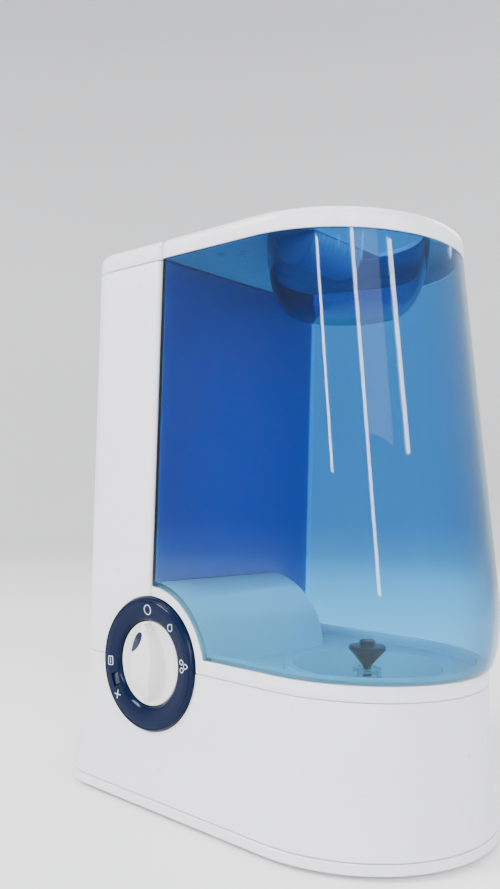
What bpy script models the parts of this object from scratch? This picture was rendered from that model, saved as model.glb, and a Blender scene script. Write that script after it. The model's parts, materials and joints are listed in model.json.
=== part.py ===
"""Steam room humidifier: base with dial, lift-off steam tower and lift-off water tank.

Lengths are millimetres in the constants and metres in the meshes. +Z is up, the dial faces -Y,
and the origin is the middle of the footprint on the table. Each part is one named object; parts
that move together hang from one empty that stands on their joint's axis.
"""

from math import acos, asin, cos, pi, radians, sin, sqrt

import bpy
from mathutils import Vector

MM = 0.001
GAP = 0.3                          # clearance between touching parts

# Body plan: a flat front and back, rounded left corners and a half-round right end
HALF_WIDTH = 115.5
HALF_DEPTH = 71.5
CORNER = 24.0
FLARE = 6.5                        # how far the foot stands out past the body
FLARE_TOP = 50.0

# Heights
HEIGHT = 320.0
FOOT_TOP = 1.7
PLATE_TOP = 7.7
DECK = 78.0                        # top of the base
BAND_TOP = 86.0                    # top of the tray's rim
COVER_BOTTOM = 308.3
WALL = 2.5

# Dial, on the line where tower, tray and base meet
DIAL_X = -46.0
DIAL_Z = DECK
RING_R = 36.8
KNOB_R = 23.4
ARCH_R = 42.8
FACE_Y = -HALF_DEPTH
RING_FRONT = FACE_Y - 2.5
DRUM_BACK = -45.0
ARCH_BACK = 28.0
SLOPE_BACK = 50.0

# Knob's grip blade
BLADE_TOP = -77.6                  # front of the grip blade
BLADE_HALF = 10.6

# Tank and its filler neck
SEAM_X = -46.0
TANK_LEFT = SEAM_X + 0.4
TOWER_RIGHT = SEAM_X - 0.4
BULGE_Z = 118.0
BULGE_X = 121.5
BULGE_DEPTH = 73.0
TOP_X = 98.0
NEST = 4.0                         # how far the tank's foot sits inside the tray's rim
NECK = (56.0, -6.0)
WELL_R = 46.3
WELL_FLOOR = 60.0

# Boiling chamber under the tower
CHAMBER = (-80.0, 6.0)
CUP_R = 24.0

# Medicine cup in the tower's cap
CUP_SPOT = (-80.0, -40.0)
CUP_SEAT_R = 16.0
CUP_FLANGE_R = 18.2
CUP_LEDGE = HEIGHT - 1.7

# Hand opening and its bowl
BOWL = (43.0, -14.0)
BOWL_HALF = (46.0, 43.0)
GRIP_X = (10.0, 39.0)

# Electrics and fasteners in the base
BOARD_Z = 14.0
BLOCK = (-42.0, 34.0)              # near corner of the terminal block
GLAND = (-70.0, 24.0)              # x and z of the hole for the mains cord
SCREW_SPOTS = [(-92.0, -52.0), (-92.0, 52.0), (88.0, -48.0), (80.0, 52.0)]
FOOT_SPOTS = [(-98.0, -34.0), (-98.0, 34.0), (98.0, -24.0), (98.0, 24.0)]

WHITE = ("white_plastic", (0.83, 0.83, 0.86), 0.38, 0.0)
TANK_BLUE = ("blue_clear_plastic", (0.08, 0.33, 0.62), 0.08, 0.0)
NAVY = ("navy_plastic", (0.02, 0.05, 0.15), 0.12, 0.0)
DARK = ("dark_plastic", (0.015, 0.012, 0.03), 0.4, 0.0)
RUBBER = ("soft_rubber", (0.05, 0.05, 0.055), 0.8, 0.0)
SILICONE = ("silicone", (0.75, 0.75, 0.72), 0.5, 0.0)
STEEL = ("steel", (0.62, 0.62, 0.64), 0.3, 1.0)
ALUMINIUM = ("aluminium", (0.7, 0.7, 0.72), 0.4, 1.0)
BRASS = ("brass", (0.75, 0.6, 0.3), 0.35, 1.0)
BOARD = ("circuit_board", (0.06, 0.25, 0.12), 0.5, 0.0)
CLEAR = ("clear_plastic", (0.8, 0.85, 0.9), 0.08, 0.0)


def clear_scene():
    for thing in list(bpy.data.objects):
        bpy.data.objects.remove(thing, do_unlink=True)


def material(spec):
    name, colour, roughness, metallic = spec
    found = bpy.data.materials.get(name)
    if found:
        return found
    made = bpy.data.materials.new(name)
    made.use_nodes = True
    shader = made.node_tree.nodes["Principled BSDF"]
    shader.inputs["Base Color"].default_value = (*colour, 1.0)
    shader.inputs["Roughness"].default_value = roughness
    shader.inputs["Metallic"].default_value = metallic
    return made


def new_object(name, points, faces, spec, parent=None, smooth=35.0):
    """A mesh object from points in millimetres; parent is the empty that it moves with."""
    mesh = bpy.data.meshes.new(name)
    mesh.from_pydata([tuple(c * MM for c in p) for p in points], [], faces)
    mesh.materials.append(material(spec))
    if smooth:
        mesh.shade_smooth()
        mesh.set_sharp_from_angle(angle=radians(smooth))
    part = bpy.data.objects.new(name, mesh)
    bpy.context.collection.objects.link(part)
    if parent:
        part.parent = parent
        part.matrix_parent_inverse = parent.matrix_world.inverted()
    return part


def signed_volume(points, faces):
    """Six times the enclosed volume; negative when the faces point inwards."""
    total = 0.0
    for face in faces:
        first = Vector(points[face[0]])
        for second, third in zip(face[1:], face[2:]):
            total += first.dot(Vector(points[second]).cross(Vector(points[third])))
    return total


def loft(name, loops, spec, parent=None, closed=False, smooth=35.0):
    """Skin through loops of equal point count, capped at both ends or closed into a ring."""
    count = len(loops[0])
    points = [p for loop in loops for p in loop]
    faces = []
    last = len(loops) if closed else len(loops) - 1
    for row in range(last):
        here = row * count
        there = (row + 1) % len(loops) * count
        for i in range(count):
            j = (i + 1) % count
            faces.append((here + i, here + j, there + j, there + i))
    if not closed:
        faces.append(tuple(reversed(range(count))))
        faces.append(tuple(range((len(loops) - 1) * count, len(loops) * count)))
    if signed_volume(points, faces) < 0:
        faces = [tuple(reversed(face)) for face in faces]
    return new_object(name, points, faces, spec, parent, smooth)


def circle(centre, radius, height, axis="Z", steps=36):
    """A loop round a line along Z or Y; height is measured along that line."""
    angles = [2 * pi * i / steps for i in range(steps)]
    if axis == "Z":
        return [(centre[0] + radius * cos(a), centre[1] + radius * sin(a), height) for a in angles]
    return [(centre[0] + radius * cos(a), height, centre[1] + radius * sin(a)) for a in angles]


def turned(name, centre, profile, spec, parent=None, axis="Z", closed=False, steps=36):
    """A turned solid from (radius, height) pairs; centre is (x, y), or (x, z) for axis Y."""
    loops = [circle(centre, r, h, axis, steps) for r, h in profile]
    return loft(name, loops, spec, parent, closed)


def tube(name, centre, inner, outer, low, high, spec, parent=None, axis="Z", steps=36):
    profile = [(inner, low), (outer, low), (outer, high), (inner, high)]
    return turned(name, centre, profile, spec, parent, axis, closed=True, steps=steps)


def rod(name, centre, radius, low, high, spec, parent=None, axis="Z", steps=24):
    return turned(name, centre, [(radius, low), (radius, high)], spec, parent, axis, steps=steps)


def box(name, low, high, spec, parent=None):
    base = [(low[0], low[1]), (high[0], low[1]), (high[0], high[1]), (low[0], high[1])]
    loops = [[(x, y, z) for x, y in base] for z in (low[2], high[2])]
    return loft(name, loops, spec, parent, smooth=None)


def rail(name, route, radius, spec, parent=None, steps=10):
    """A bent round wire or hose through a few route points."""
    curve = bpy.data.curves.new(name, "CURVE")
    curve.dimensions = "3D"
    curve.bevel_depth = radius * MM
    curve.bevel_resolution = 2
    curve.use_fill_caps = True
    spline = curve.splines.new("POLY")
    fine = smooth_route(route, steps)
    spline.points.add(len(fine) - 1)
    for point, place in zip(spline.points, fine):
        point.co = (*(c * MM for c in place), 1.0)
    curve.materials.append(material(spec))
    part = bpy.data.objects.new(name, curve)
    bpy.context.collection.objects.link(part)
    if parent:
        part.parent = parent
        part.matrix_parent_inverse = parent.matrix_world.inverted()
    return part


def smooth_route(route, steps):
    """Catmull-Rom points through a route."""
    pts = [Vector(p) for p in (route[0], *route, route[-1])]
    out = []
    for a, b, c, d in zip(pts, pts[1:], pts[2:], pts[3:]):
        for i in range(steps):
            t = i / steps
            out.append(0.5 * (2 * b + (c - a) * t + (2 * a - 5 * b + 4 * c - d) * t * t
                              + (3 * b - a - 3 * c + d) * t ** 3))
    return out + [pts[-1]]


def combine(part, tool, operation="DIFFERENCE"):
    """Cut or join with a tool that stays hidden."""
    step = part.modifiers.new(operation.title(), "BOOLEAN")
    step.operation = operation
    step.solver = "EXACT"
    step.object = tool
    tool.hide_render = True
    tool.display_type = "WIRE"
    return part


def empty(name, place, parent=None):
    """The frame of a moving body, standing on its joint's axis."""
    thing = bpy.data.objects.new(name, None)
    bpy.context.collection.objects.link(thing)
    thing.location = tuple(c * MM for c in place)
    if parent:
        thing.parent = parent
        thing.location = tuple((c - p) * MM for c, p in zip(place, parent["place"]))
    thing["place"] = place
    bpy.context.view_layer.update()
    return thing


def plan(left, right, depth, left_radius, z, right_radius=None):
    """The body's outline at a height; the right end is half round unless given a radius."""
    corner_steps, nose_steps = 5, 12
    loop = []

    def arc(cx, cy, radius, first, last, steps):
        for i in range(steps + 1):
            a = radians(first + (last - first) * i / steps)
            loop.append((cx + radius * cos(a), cy + radius * sin(a), z))

    arc(left + left_radius, left_radius - depth, left_radius, 180, 270, corner_steps)
    if right_radius is None:
        arc(right - depth, 0.0, depth, -90, 90, 2 * nose_steps)
    else:
        arc(right - right_radius, right_radius - depth, right_radius, 270, 360, nose_steps)
        arc(right - right_radius, depth - right_radius, right_radius, 0, 90, nose_steps)
    arc(left + left_radius, depth - left_radius, left_radius, 90, 180, corner_steps)
    return loop


def body_plan(z, grow=0.0):
    return plan(-HALF_WIDTH - grow, HALF_WIDTH + grow, HALF_DEPTH + grow, CORNER + grow, z)


def flare(z):
    """How far the base stands out at a height: a hollow curve from the waist to the foot."""
    reach = (FLARE_TOP - z) / (FLARE_TOP - PLATE_TOP)
    return FLARE * max(reach, 0.0) ** 2


# Base ---------------------------------------------------------------------------------------

def make_bottom_plate():
    low = FOOT_TOP + GAP
    loops = [body_plan(low, FLARE - 1.0), body_plan(low + 1.0, FLARE), body_plan(PLATE_TOP, FLARE),
             body_plan(PLATE_TOP, FLARE - 3.0), body_plan(low + WALL, FLARE - 3.0)]
    plate = loft("bottom_plate", loops, WHITE)
    for i, (x, y) in enumerate(SCREW_SPOTS):
        combine(plate, rod(f"cut_plate_screw_{i}", (x, y), 3.4, 0.0, 6.0, WHITE, steps=16))
    return plate


def make_feet():
    for i, spot in enumerate(FOOT_SPOTS, 1):
        turned(f"rubber_foot_{i}", spot, [(7.0, 0.0), (8.0, 0.6), (8.0, FOOT_TOP)], RUBBER, steps=24)


def make_plate_screws():
    low = FOOT_TOP + GAP
    for i, spot in enumerate(SCREW_SPOTS, 1):
        profile = [(2.4, low), (2.9, low + 0.5), (2.9, low + 1.9), (1.4, low + 2.4), (1.4, 16.0)]
        turned(f"plate_screw_{i}", spot, profile, STEEL, steps=12)


def make_lower_housing():
    outside = [PLATE_TOP + GAP, 14.0, 20.0, 27.0, 35.0, 43.0, FLARE_TOP]
    loops = [body_plan(DECK - WALL, -3.0), body_plan(FLARE_TOP, -3.0)]
    loops += [body_plan(z, flare(z) - 3.0) for z in (30.0, 18.0, outside[0])]
    loops += [body_plan(z, flare(z)) for z in outside]
    loops += [body_plan(DECK - 0.6), body_plan(DECK, -0.6)]
    housing = loft("lower_housing", loops, WHITE)
    for i, (x, y) in enumerate(SCREW_SPOTS):
        post = rod(f"join_screw_post_{i}", (x, y), 4.5, 6.0, DECK - 1.2, WHITE, steps=16)
        combine(housing, post, "UNION")
        combine(housing, rod(f"cut_screw_post_{i}", (x, y), 1.8, 4.0, 20.0, WHITE, steps=12))
    combine(housing, rod("cut_well", NECK, WELL_R + 2.3, DECK - 8.0, DECK + 6.0, WHITE, steps=36))
    drum = rod("cut_drum_below", (DIAL_X, DIAL_Z), RING_R + 0.4, -90.0, DRUM_BACK + 2.0,
               WHITE, axis="Y", steps=48)
    combine(housing, drum)
    combine(housing, box("cut_switch_bay", (-66.0, -50.0, DECK - 8.0), (-26.0, -22.0, DECK + 5.0), WHITE))
    combine(housing, rod("cut_chamber", CHAMBER, CUP_R + 0.6, DECK - 8.0, DECK + 6.0, WHITE, steps=36))
    combine(housing, rod("cut_gland", GLAND, 6.3, 60.0, 90.0, WHITE, axis="Y"))
    return housing


def make_water_tray():
    left = TANK_LEFT
    rim_z, floor_z = BAND_TOP, DECK + GAP + 2.0
    low = DECK + GAP

    def tray_plan(z, inset):
        return plan(left + inset, HALF_WIDTH - inset, HALF_DEPTH - inset, 3.0, z)

    loops = [tray_plan(low, 0.0), tray_plan(rim_z - 0.8, 0.0), tray_plan(rim_z, 0.6),
             tray_plan(rim_z, 3.4), tray_plan(floor_z, 3.4)]
    tray = loft("water_tray", loops, WHITE)
    combine(tray, arch_block("join_arch", ARCH_R, FACE_Y, 0.0, low + 0.5, left), "UNION")
    hollow = arch_block("cut_arch", RING_R + 0.8, FACE_Y - 10.0, -5.5, DECK - 12.0, left - 8.0)
    combine(tray, hollow)
    well = rod("join_well", NECK, WELL_R + 1.7, WELL_FLOOR, floor_z - 0.5, WHITE, steps=48)
    combine(tray, well, "UNION")
    combine(tray, rod("cut_well_inside", NECK, WELL_R, WELL_FLOOR + 2.0, 100.0, WHITE, steps=48))
    combine(tray, x_rod("cut_feed_hole", 0.0, 3.2, 66.0, 0.0, 14.0))
    return tray


def arch_block(name, radius, front, shift, z0, x0):
    """A quarter-round block over the dial drum that slopes down to the tray at its back."""
    steps = 14

    def section(y, r):
        loop = [(x0, y, z0)]
        first, last = 0.0, pi / 2
        if z0 < DIAL_Z:
            loop.append((DIAL_X + r, y, z0))
        else:
            first = asin((z0 - DIAL_Z) / r)
        if x0 > DIAL_X:
            last = acos((x0 - DIAL_X) / r)
        for i in range(steps + 1):
            a = first + (last - first) * i / steps
            loop.append((DIAL_X + r * cos(a), y, DIAL_Z + r * sin(a)))
        if x0 < DIAL_X:
            loop.append((x0, y, DIAL_Z + r))
        return loop

    back = ARCH_BACK + shift
    end = SLOPE_BACK + shift
    return loft(name, [section(front, radius), section(back, radius), section(end, radius * 0.3)], WHITE)


def x_rod(name, y, radius, z, x0, x1, spec=WHITE, steps=16):
    """A round bar along X."""
    angles = [2 * pi * i / steps for i in range(steps)]
    loops = [[(x, y + radius * cos(a), z + radius * sin(a)) for a in angles] for x in (x0, x1)]
    return loft(name, loops, spec)


def make_valve_pin():
    turned("valve_pin", NECK, [(6.0, WELL_FLOOR + 2.3), (6.0, WELL_FLOOR + 3.4), (2.5, WELL_FLOOR + 3.4),
                               (2.5, WELL_FLOOR + 5.6)], WHITE, steps=24)


def make_feed_tube():
    """The silicone hose from the well to the boiling cup, a hollow bar along X."""
    angles = [2 * pi * i / 16 for i in range(16)]
    ends = (-56.0, 7.3)
    loops = []
    for radius, xs in ((5.0, ends), (3.3, tuple(reversed(ends)))):
        loops += [[(x, radius * cos(a), 66.0 + radius * sin(a)) for a in angles] for x in xs]
    loft("feed_tube", loops, SILICONE, closed=True)


def make_dial_housing():
    drum = turned("dial_housing", (DIAL_X, DIAL_Z),
                  [(RING_R - 0.4, FACE_Y + 1.6), (RING_R - 0.4, DRUM_BACK), (4.2, DRUM_BACK),
                   (4.2, DRUM_BACK - 2.0), (RING_R - 2.6, DRUM_BACK - 2.0), (RING_R - 2.6, FACE_Y + 1.6)],
                  WHITE, axis="Y", closed=True, steps=48)
    return drum


def make_dial_ring():
    back = FACE_Y + 1.2
    profile = [(KNOB_R + 0.5, back), (KNOB_R + 0.5, FACE_Y - 0.3), (KNOB_R + 2.0, RING_FRONT + 0.9),
               (RING_R - 5.5, RING_FRONT), (RING_R - 2.4, RING_FRONT), (RING_R - 1.8, RING_FRONT + 0.5),
               (RING_R - 1.0, RING_FRONT), (RING_R, RING_FRONT + 1.2), (RING_R, back)]
    ring = turned("dial_ring", (DIAL_X, DIAL_Z), profile, NAVY, axis="Y", closed=True, steps=48)
    combine(ring, window_block("cut_window", 0.3, RING_FRONT - 2.0, FACE_Y + 4.0))
    return ring


def window_block(name, grow, front, back, spec=DARK, parent=None):
    """The little window at eight o'clock, turned to lie along the ring."""
    angle = radians(-26.0)
    out = (-cos(angle), sin(angle))
    side = (-out[1], out[0])
    middle = KNOB_R + 4.9
    loops = []
    for y in (front, back):
        loop = []
        for along, across in ((-2.4, -3.4), (2.4, -3.4), (2.4, 3.4), (-2.4, 3.4)):
            reach = middle + along + grow * (1 if along > 0 else -1)
            shift = across + grow * (1 if across > 0 else -1)
            loop.append((DIAL_X + out[0] * reach + side[0] * shift, y,
                         DIAL_Z + out[1] * reach + side[1] * shift))
        loops.append(loop)
    return loft(name, loops, spec, parent, smooth=None)


def make_dial_parts():
    window_block("light_window", 0.0, RING_FRONT + 0.9, FACE_Y + 0.8)
    out = KNOB_R + 4.9
    lamp = (DIAL_X - out * cos(radians(26.0)), DIAL_Z - out * sin(radians(26.0)))
    turned("indicator_lamp", lamp, [(1.0, FACE_Y + 2.2), (2.0, FACE_Y + 3.4), (2.0, FACE_Y + 8.0)],
           CLEAR, axis="Y", steps=20)
    switch = box("rotary_switch", (DIAL_X - 16.0, DRUM_BACK + GAP, DIAL_Z - 16.0),
                 (DIAL_X + 16.0, DRUM_BACK + 20.0, DIAL_Z + 16.0), DARK)
    combine(switch, rod("cut_switch_bore", (DIAL_X, DIAL_Z), 3.4, DRUM_BACK - 5.0, DRUM_BACK + 14.0,
                        DARK, axis="Y"))


def make_electrics():
    x, y = BLOCK
    top = BOARD_Z + 1.6
    box("control_board", (x - 3.0, y - 40.0, BOARD_Z), (x + 34.0, y + 16.0, top), BOARD)
    box("terminal_block", (x, y, top + GAP), (x + 12.0, y + 12.0, top + 11.0), DARK)
    box("power_relay", (x + 4.0, y - 34.0, top + GAP), (x + 19.0, y - 14.0, top + 15.0), DARK)
    plate_floor = FOOT_TOP + GAP + WALL
    for i, shift in enumerate((-34.0, 10.0), 1):
        rod(f"board_post_{i}", (x + 24.0, y + shift), 3.0, plate_floor + GAP, BOARD_Z - GAP, WHITE, steps=16)
    gland = [(3.2, 64.0), (8.5, 64.0), (8.5, 66.0), (5.9, 66.3), (5.9, 76.8), (3.2, 76.8)]
    turned("cord_gland", GLAND, gland, RUBBER, axis="Y", closed=True, steps=24)


def make_boiling_chamber():
    x, y = CHAMBER
    cup = turned("boiling_cup", CHAMBER,
                 [(CUP_R - 1.0, 34.0), (CUP_R, 35.0), (CUP_R, 80.0), (CUP_R - 1.4, 80.0),
                  (CUP_R - 1.4, 36.5), (CUP_R - 2.4, 35.5)], STEEL)
    combine(cup, x_rod("cut_cup_inlet", 0.0, 3.2, 66.0, -64.0, -50.0))
    turned("heater_block", CHAMBER, [(20.0, 24.5), (21.5, 26.0), (21.5, 33.7)], ALUMINIUM)
    for i, side in enumerate((-1, 1), 1):
        middle = x + side * 12
        box(f"heater_tab_{i}", (middle - 3.0, y - 0.5, 15.0), (middle + 3.0, y + 0.5, 24.2), BRASS)
    turned("thermostat", (x, y - 11.0), [(6.0, 17.0), (6.0, 22.6), (4.5, 24.2)], STEEL, steps=24)
    rod("thermal_fuse", (x, y + 9.0), 2.2, 14.0, 24.2, STEEL, steps=16)
    tube("chamber_seal", CHAMBER, CUP_R + 0.3, CUP_R + 4.0, DECK + GAP, DECK + 2.8, SILICONE)
    end = BLOCK[0] - 1.0
    tab = 14.7
    wires = [[(x - 12, y, tab), (x - 12, y + 4, 10), (x, y + 26, 9), (x + 20, 40, 13), (end, 40.5, 20)],
             [(x + 12, y, tab), (x + 12, y + 4, 10), (x + 18, 22, 9.5), (x + 27, 34, 13), (end, 37, 20)],
             [(GLAND[0], 63.5, GLAND[1]), (-66, 56, 23), (-56, 47, 21), (end, 44, 20)]]
    for i, route in enumerate(wires, 1):
        rail(f"lead_{i}", route, 1.1, RUBBER, steps=5)


# Tower --------------------------------------------------------------------------------------

def tower_plan(z, inset=0.0):
    return plan(inset - HALF_WIDTH, TOWER_RIGHT - inset, HALF_DEPTH + top_lean(z) - inset,
                max(CORNER - inset, 2.0), z, max(3.0 - inset, 1.0))


def top_lean(z):
    """The front and back stand out a little more towards the top."""
    return (BULGE_DEPTH - HALF_DEPTH) * min(max((z - DECK) / (COVER_BOTTOM - DECK), 0.0), 1.0)


def make_tower_shell(tower):
    low, high = DECK + GAP, COVER_BOTTOM - 0.6
    loops = [tower_plan(low), tower_plan(high), tower_plan(high, WALL), tower_plan(low, WALL)]
    shell = loft("tower_shell", loops, WHITE, tower, closed=True)
    drum = rod("cut_drum_above", (DIAL_X, DIAL_Z), RING_R + 0.5, -90.0, -24.0, WHITE, axis="Y", steps=48)
    combine(shell, drum)
    return shell


def make_tower_cap(tower):
    low = COVER_BOTTOM
    loops = [tower_plan(HEIGHT - WALL, WALL), tower_plan(low, WALL), tower_plan(low),
             tower_plan(HEIGHT - 5.0), tower_plan(HEIGHT - 2.2, 0.8), tower_plan(HEIGHT - 0.6, 2.2),
             tower_plan(HEIGHT, 4.5)]
    cap = loft("tower_cap", loops, WHITE, tower)
    combine(cap, rod("cut_outlet", CHAMBER, 20.4, 300.0, 330.0, WHITE, steps=36))
    combine(cap, rod("cut_cup_seat", CUP_SPOT, CUP_SEAT_R, 300.0, 330.0, WHITE, steps=28))
    combine(cap, rod("cut_cup_ledge", CUP_SPOT, CUP_FLANGE_R + 0.4, CUP_LEDGE, 330.0, WHITE, steps=28))
    return cap


def make_outlet_grille(tower):
    top = HEIGHT - 0.4
    grille = rod("outlet_grille", CHAMBER, 20.0, top - 4.0, top, WHITE, tower, steps=36)
    for i in range(5):
        y = CHAMBER[1] + (i - 2) * 6.4
        half = sqrt(17.0 ** 2 - (abs(i - 2) * 6.4 + 1.7) ** 2)
        combine(grille, box(f"cut_slot_{i}", (CHAMBER[0] - half, y - 1.7, 300.0),
                            (CHAMBER[0] + half, y + 1.7, 330.0), WHITE))
    return grille


def make_steam_duct(tower):
    outer = [(CUP_R + 3.8, 81.2), (CUP_R + 3.8, 84.0), (CUP_R + 1.0, 90.0), (19.4, 130.0), (19.4, 315.3)]
    inner = [(r - 1.8, z) for r, z in reversed(outer)]
    turned("steam_duct", CHAMBER, outer + inner, WHITE, tower, closed=True, steps=28)


def make_medicine_cup(cup):
    under, top = CUP_LEDGE + GAP, HEIGHT - 0.4
    profile = [(11.5, 306.0), (14.5, 308.0), (CUP_SEAT_R - 0.6, 313.0), (CUP_SEAT_R - 0.6, under),
               (CUP_FLANGE_R, under), (CUP_FLANGE_R, top), (14.0, top), (13.8, 313.0), (12.8, 309.0),
               (10.5, 307.8)]
    turned("medicine_cup", CUP_SPOT, profile, WHITE, cup, steps=28)


# Tank ---------------------------------------------------------------------------------------

def tank_station(z):
    """Right end and half depth of the tank at a height: tucked in at the tray, then drawn in upwards."""
    if z < BULGE_Z:
        t = (BULGE_Z - z) / (BULGE_Z - BAND_TOP - GAP)
        tuck = 1.0 - sqrt(max(1.0 - t * t, 0.0))
        return BULGE_X - (BULGE_X - HALF_WIDTH) * tuck, BULGE_DEPTH - (BULGE_DEPTH - HALF_DEPTH) * tuck
    t = (z - BULGE_Z) / (COVER_BOTTOM - BULGE_Z)
    return BULGE_X + (TOP_X - BULGE_X) * t, BULGE_DEPTH


def tank_plan(z, inset=0.0):
    right, depth = tank_station(z)
    return plan(TANK_LEFT + inset, right - inset, depth - inset, max(3.0 - inset, 0.8), z)


def foot_plan(z, inset):
    return plan(TANK_LEFT + inset, HALF_WIDTH - inset, HALF_DEPTH - inset, 2.0, z)


def make_tank_shell(tank):
    low, high = DECK + GAP + 2.3, COVER_BOTTOM - GAP
    step = BAND_TOP + GAP
    rising = [step, 87.0, 89.0, 93.0, 99.0, 107.0, BULGE_Z, 200.0, high]
    loops = [foot_plan(low, NEST), foot_plan(step, NEST)]
    loops += [tank_plan(z) for z in rising]
    loops += [tank_plan(z, WALL) for z in reversed(rising[2:])]
    loops += [foot_plan(89.0, NEST + 2.0), foot_plan(low + 2.2, NEST + 2.0)]
    shell = loft("tank_shell", loops, TANK_BLUE, tank)
    cover = arch_block("join_tank_arch", ARCH_R + 3.0, FACE_Y - 0.3, 3.0, low + 0.5, TANK_LEFT + 0.5)
    combine(shell, cover, "UNION")
    space = arch_block("cut_tank_arch", ARCH_R + 0.6, FACE_Y - 12.0, 0.6, DECK - 12.0, TANK_LEFT - 12.0)
    combine(shell, space)
    bottom, top, clear = DECK - 10.0, BAND_TOP + 0.25, 3.8
    outer = [plan(TANK_LEFT - 5.0, HALF_WIDTH + 5.0, HALF_DEPTH + 5.0, 3.0, z) for z in (bottom, top)]
    inner = [plan(TANK_LEFT + clear, HALF_WIDTH - clear, HALF_DEPTH - clear, 2.0, z) for z in (top, bottom)]
    combine(shell, loft("cut_rim_space", outer + inner, WHITE, closed=True))
    neck = turned("join_neck", NECK, [(43.0, 68.0), (43.0, low + 0.8), (44.7, low + 0.8), (44.7, 84.6),
                                      (40.5, 84.6)], TANK_BLUE, steps=48)
    combine(shell, neck, "UNION")
    combine(shell, rod("cut_neck", NECK, 40.0, 60.0, 100.0, TANK_BLUE, steps=48))
    return shell


def make_tank_cover(tank):
    def cover_plan(z, inset):
        return plan(TANK_LEFT + inset, TOP_X - inset, BULGE_DEPTH - inset, max(3.0 - inset, 1.0), z)

    loops = [cover_plan(HEIGHT - WALL, WALL), cover_plan(COVER_BOTTOM, WALL), cover_plan(COVER_BOTTOM, 0.0),
             cover_plan(HEIGHT - 5.0, 0.0), cover_plan(HEIGHT - 2.2, 0.8), cover_plan(HEIGHT - 0.6, 2.2),
             cover_plan(HEIGHT, 4.5)]
    cover = loft("tank_cover", loops, WHITE, tank)
    combine(cover, hand_hole())
    return cover


def oval(centre, half_x, half_y, z, steps=32):
    angles = [2 * pi * i / steps for i in range(steps)]
    return [(centre[0] + half_x * cos(a), centre[1] + half_y * sin(a), z) for a in angles]


def hand_hole():
    """The finger opening: the part of the bowl's mouth to the right of the grip."""
    inset = 3.0
    loops = [oval(BOWL, BOWL_HALF[0] - inset, BOWL_HALF[1] - inset, z) for z in (300.0, 330.0)]
    hole = loft("cut_hand_hole", loops, WHITE)
    keep = box("keep_left_plate", (-30.0, -80.0, 290.0), (GRIP_X[1], 60.0, 340.0), WHITE)
    combine(hole, keep)
    return hole


def make_handle_well(tank):
    top = HEIGHT - WALL - GAP
    shape = [(1.0, top), (0.97, 309.0), (0.93, 298.0), (0.85, 288.0), (0.7, 279.0), (0.48, 273.5)]
    outer = [oval(BOWL, BOWL_HALF[0] * s, BOWL_HALF[1] * s, z) for s, z in reversed(shape)]
    inner = [oval(BOWL, BOWL_HALF[0] * s - 2.0, BOWL_HALF[1] * s - 2.0, z + 2.0 * (z < 280.0))
             for s, z in shape]
    loft("handle_well", outer + inner, TANK_BLUE, tank)


def make_handle_grip(tank):
    """The ribbed bar across the bowl, under the edge of the cover."""
    top = HEIGHT - WALL - GAP
    x0, x1 = GRIP_X
    mid, half = (x0 + x1) / 2, (x1 - x0) / 2
    reach = BOWL_HALF[1] * sqrt(1 - ((x0 - BOWL[0]) / BOWL_HALF[0]) ** 2) - 7.0
    ribs = 11
    loops = []
    for i in range(2 * ribs + 1):
        y = BOWL[1] - reach + 2 * reach * i / (2 * ribs)
        deep = 17.0 if i % 2 else 15.6
        rounding = [(mid + half * cos(a), y, top - deep * sin(a)) for a in
                    (pi * k / 12 for k in range(13))]
        loops.append(rounding)
    loft("handle_grip", loops, WHITE, tank)


def make_tank_cap(cap):
    x, y = NECK
    profile = [(5.2, 64.6), (43.0, 64.6), (45.4, 65.8), (45.4, 77.4), (43.4, 77.4), (43.4, 67.0),
               (5.2, 67.0)]
    body = turned("tank_cap", NECK, profile, WHITE, cap, closed=True, steps=36)
    for i in range(2):
        angle = pi / 2 + i * pi
        spot = (x + 26 * cos(angle), y + 26 * sin(angle))
        combine(body, rod(f"cut_finger_{i}", spot, 4.0, 60.0, 65.6, WHITE))
    tube("cap_gasket", NECK, 40.6, 43.0, 67.3, 67.8, SILICONE, cap, steps=32)
    sleeve = [(5.2, 67.3), (7.6, 67.3), (7.6, 82.8), (3.9, 82.8), (3.9, 81.8), (5.2, 81.8)]
    turned("valve_sleeve", NECK, sleeve, CLEAR, cap, closed=True, steps=20)


def make_valve(valve):
    profile = [(2.2, 66.0), (2.2, 69.5), (4.6, 69.5), (4.6, 70.9), (2.2, 70.9), (2.2, 84.5), (2.8, 84.5),
               (9.6, 93.0), (10.0, 94.0), (4.2, 94.6), (4.2, 97.0), (3.4, 97.6)]
    turned("valve_plunger", NECK, profile, DARK, valve, steps=20)


def make_valve_spring(cap):
    """A wire helix between the plunger's collar and the sleeve's lip."""
    turns, steps, mean, low, high = 4, 12, 3.7, 71.8, 81.0
    route = []
    for i in range(turns * steps + 1):
        a = 2 * pi * i / steps
        route.append((NECK[0] + mean * cos(a), NECK[1] + mean * sin(a),
                      low + (high - low) * i / (turns * steps)))
    rail("valve_spring", route, 0.45, STEEL, cap, steps=1)


# Knob ---------------------------------------------------------------------------------------

def make_knob(knob):
    face = FACE_Y + 0.6
    disc = [(KNOB_R - 1.5, FACE_Y + 3.0), (KNOB_R, FACE_Y + 2.2), (KNOB_R, face - 0.9),
            (KNOB_R - 0.8, face - 1.2), (KNOB_R - 3.5, face), (11.0, face + 0.8)]
    body = turned("control_knob", (DIAL_X, DIAL_Z), disc, WHITE, knob, axis="Y", steps=48)
    combine(body, grip_blade("join_grip"), "UNION")
    combine(body, lens_block("cut_lens", 0.25, 4.0))
    lens_block("knob_lens", 0.0, 0.9, NAVY, knob)
    combine(body, rod("cut_shaft_seat", (DIAL_X, DIAL_Z), 3.3, FACE_Y + 1.0, FACE_Y + 9.0, WHITE, axis="Y"))
    rod("switch_shaft", (DIAL_X, DIAL_Z), 3.0, FACE_Y + 1.3, DRUM_BACK + 13.5, BRASS, knob, axis="Y")


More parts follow.
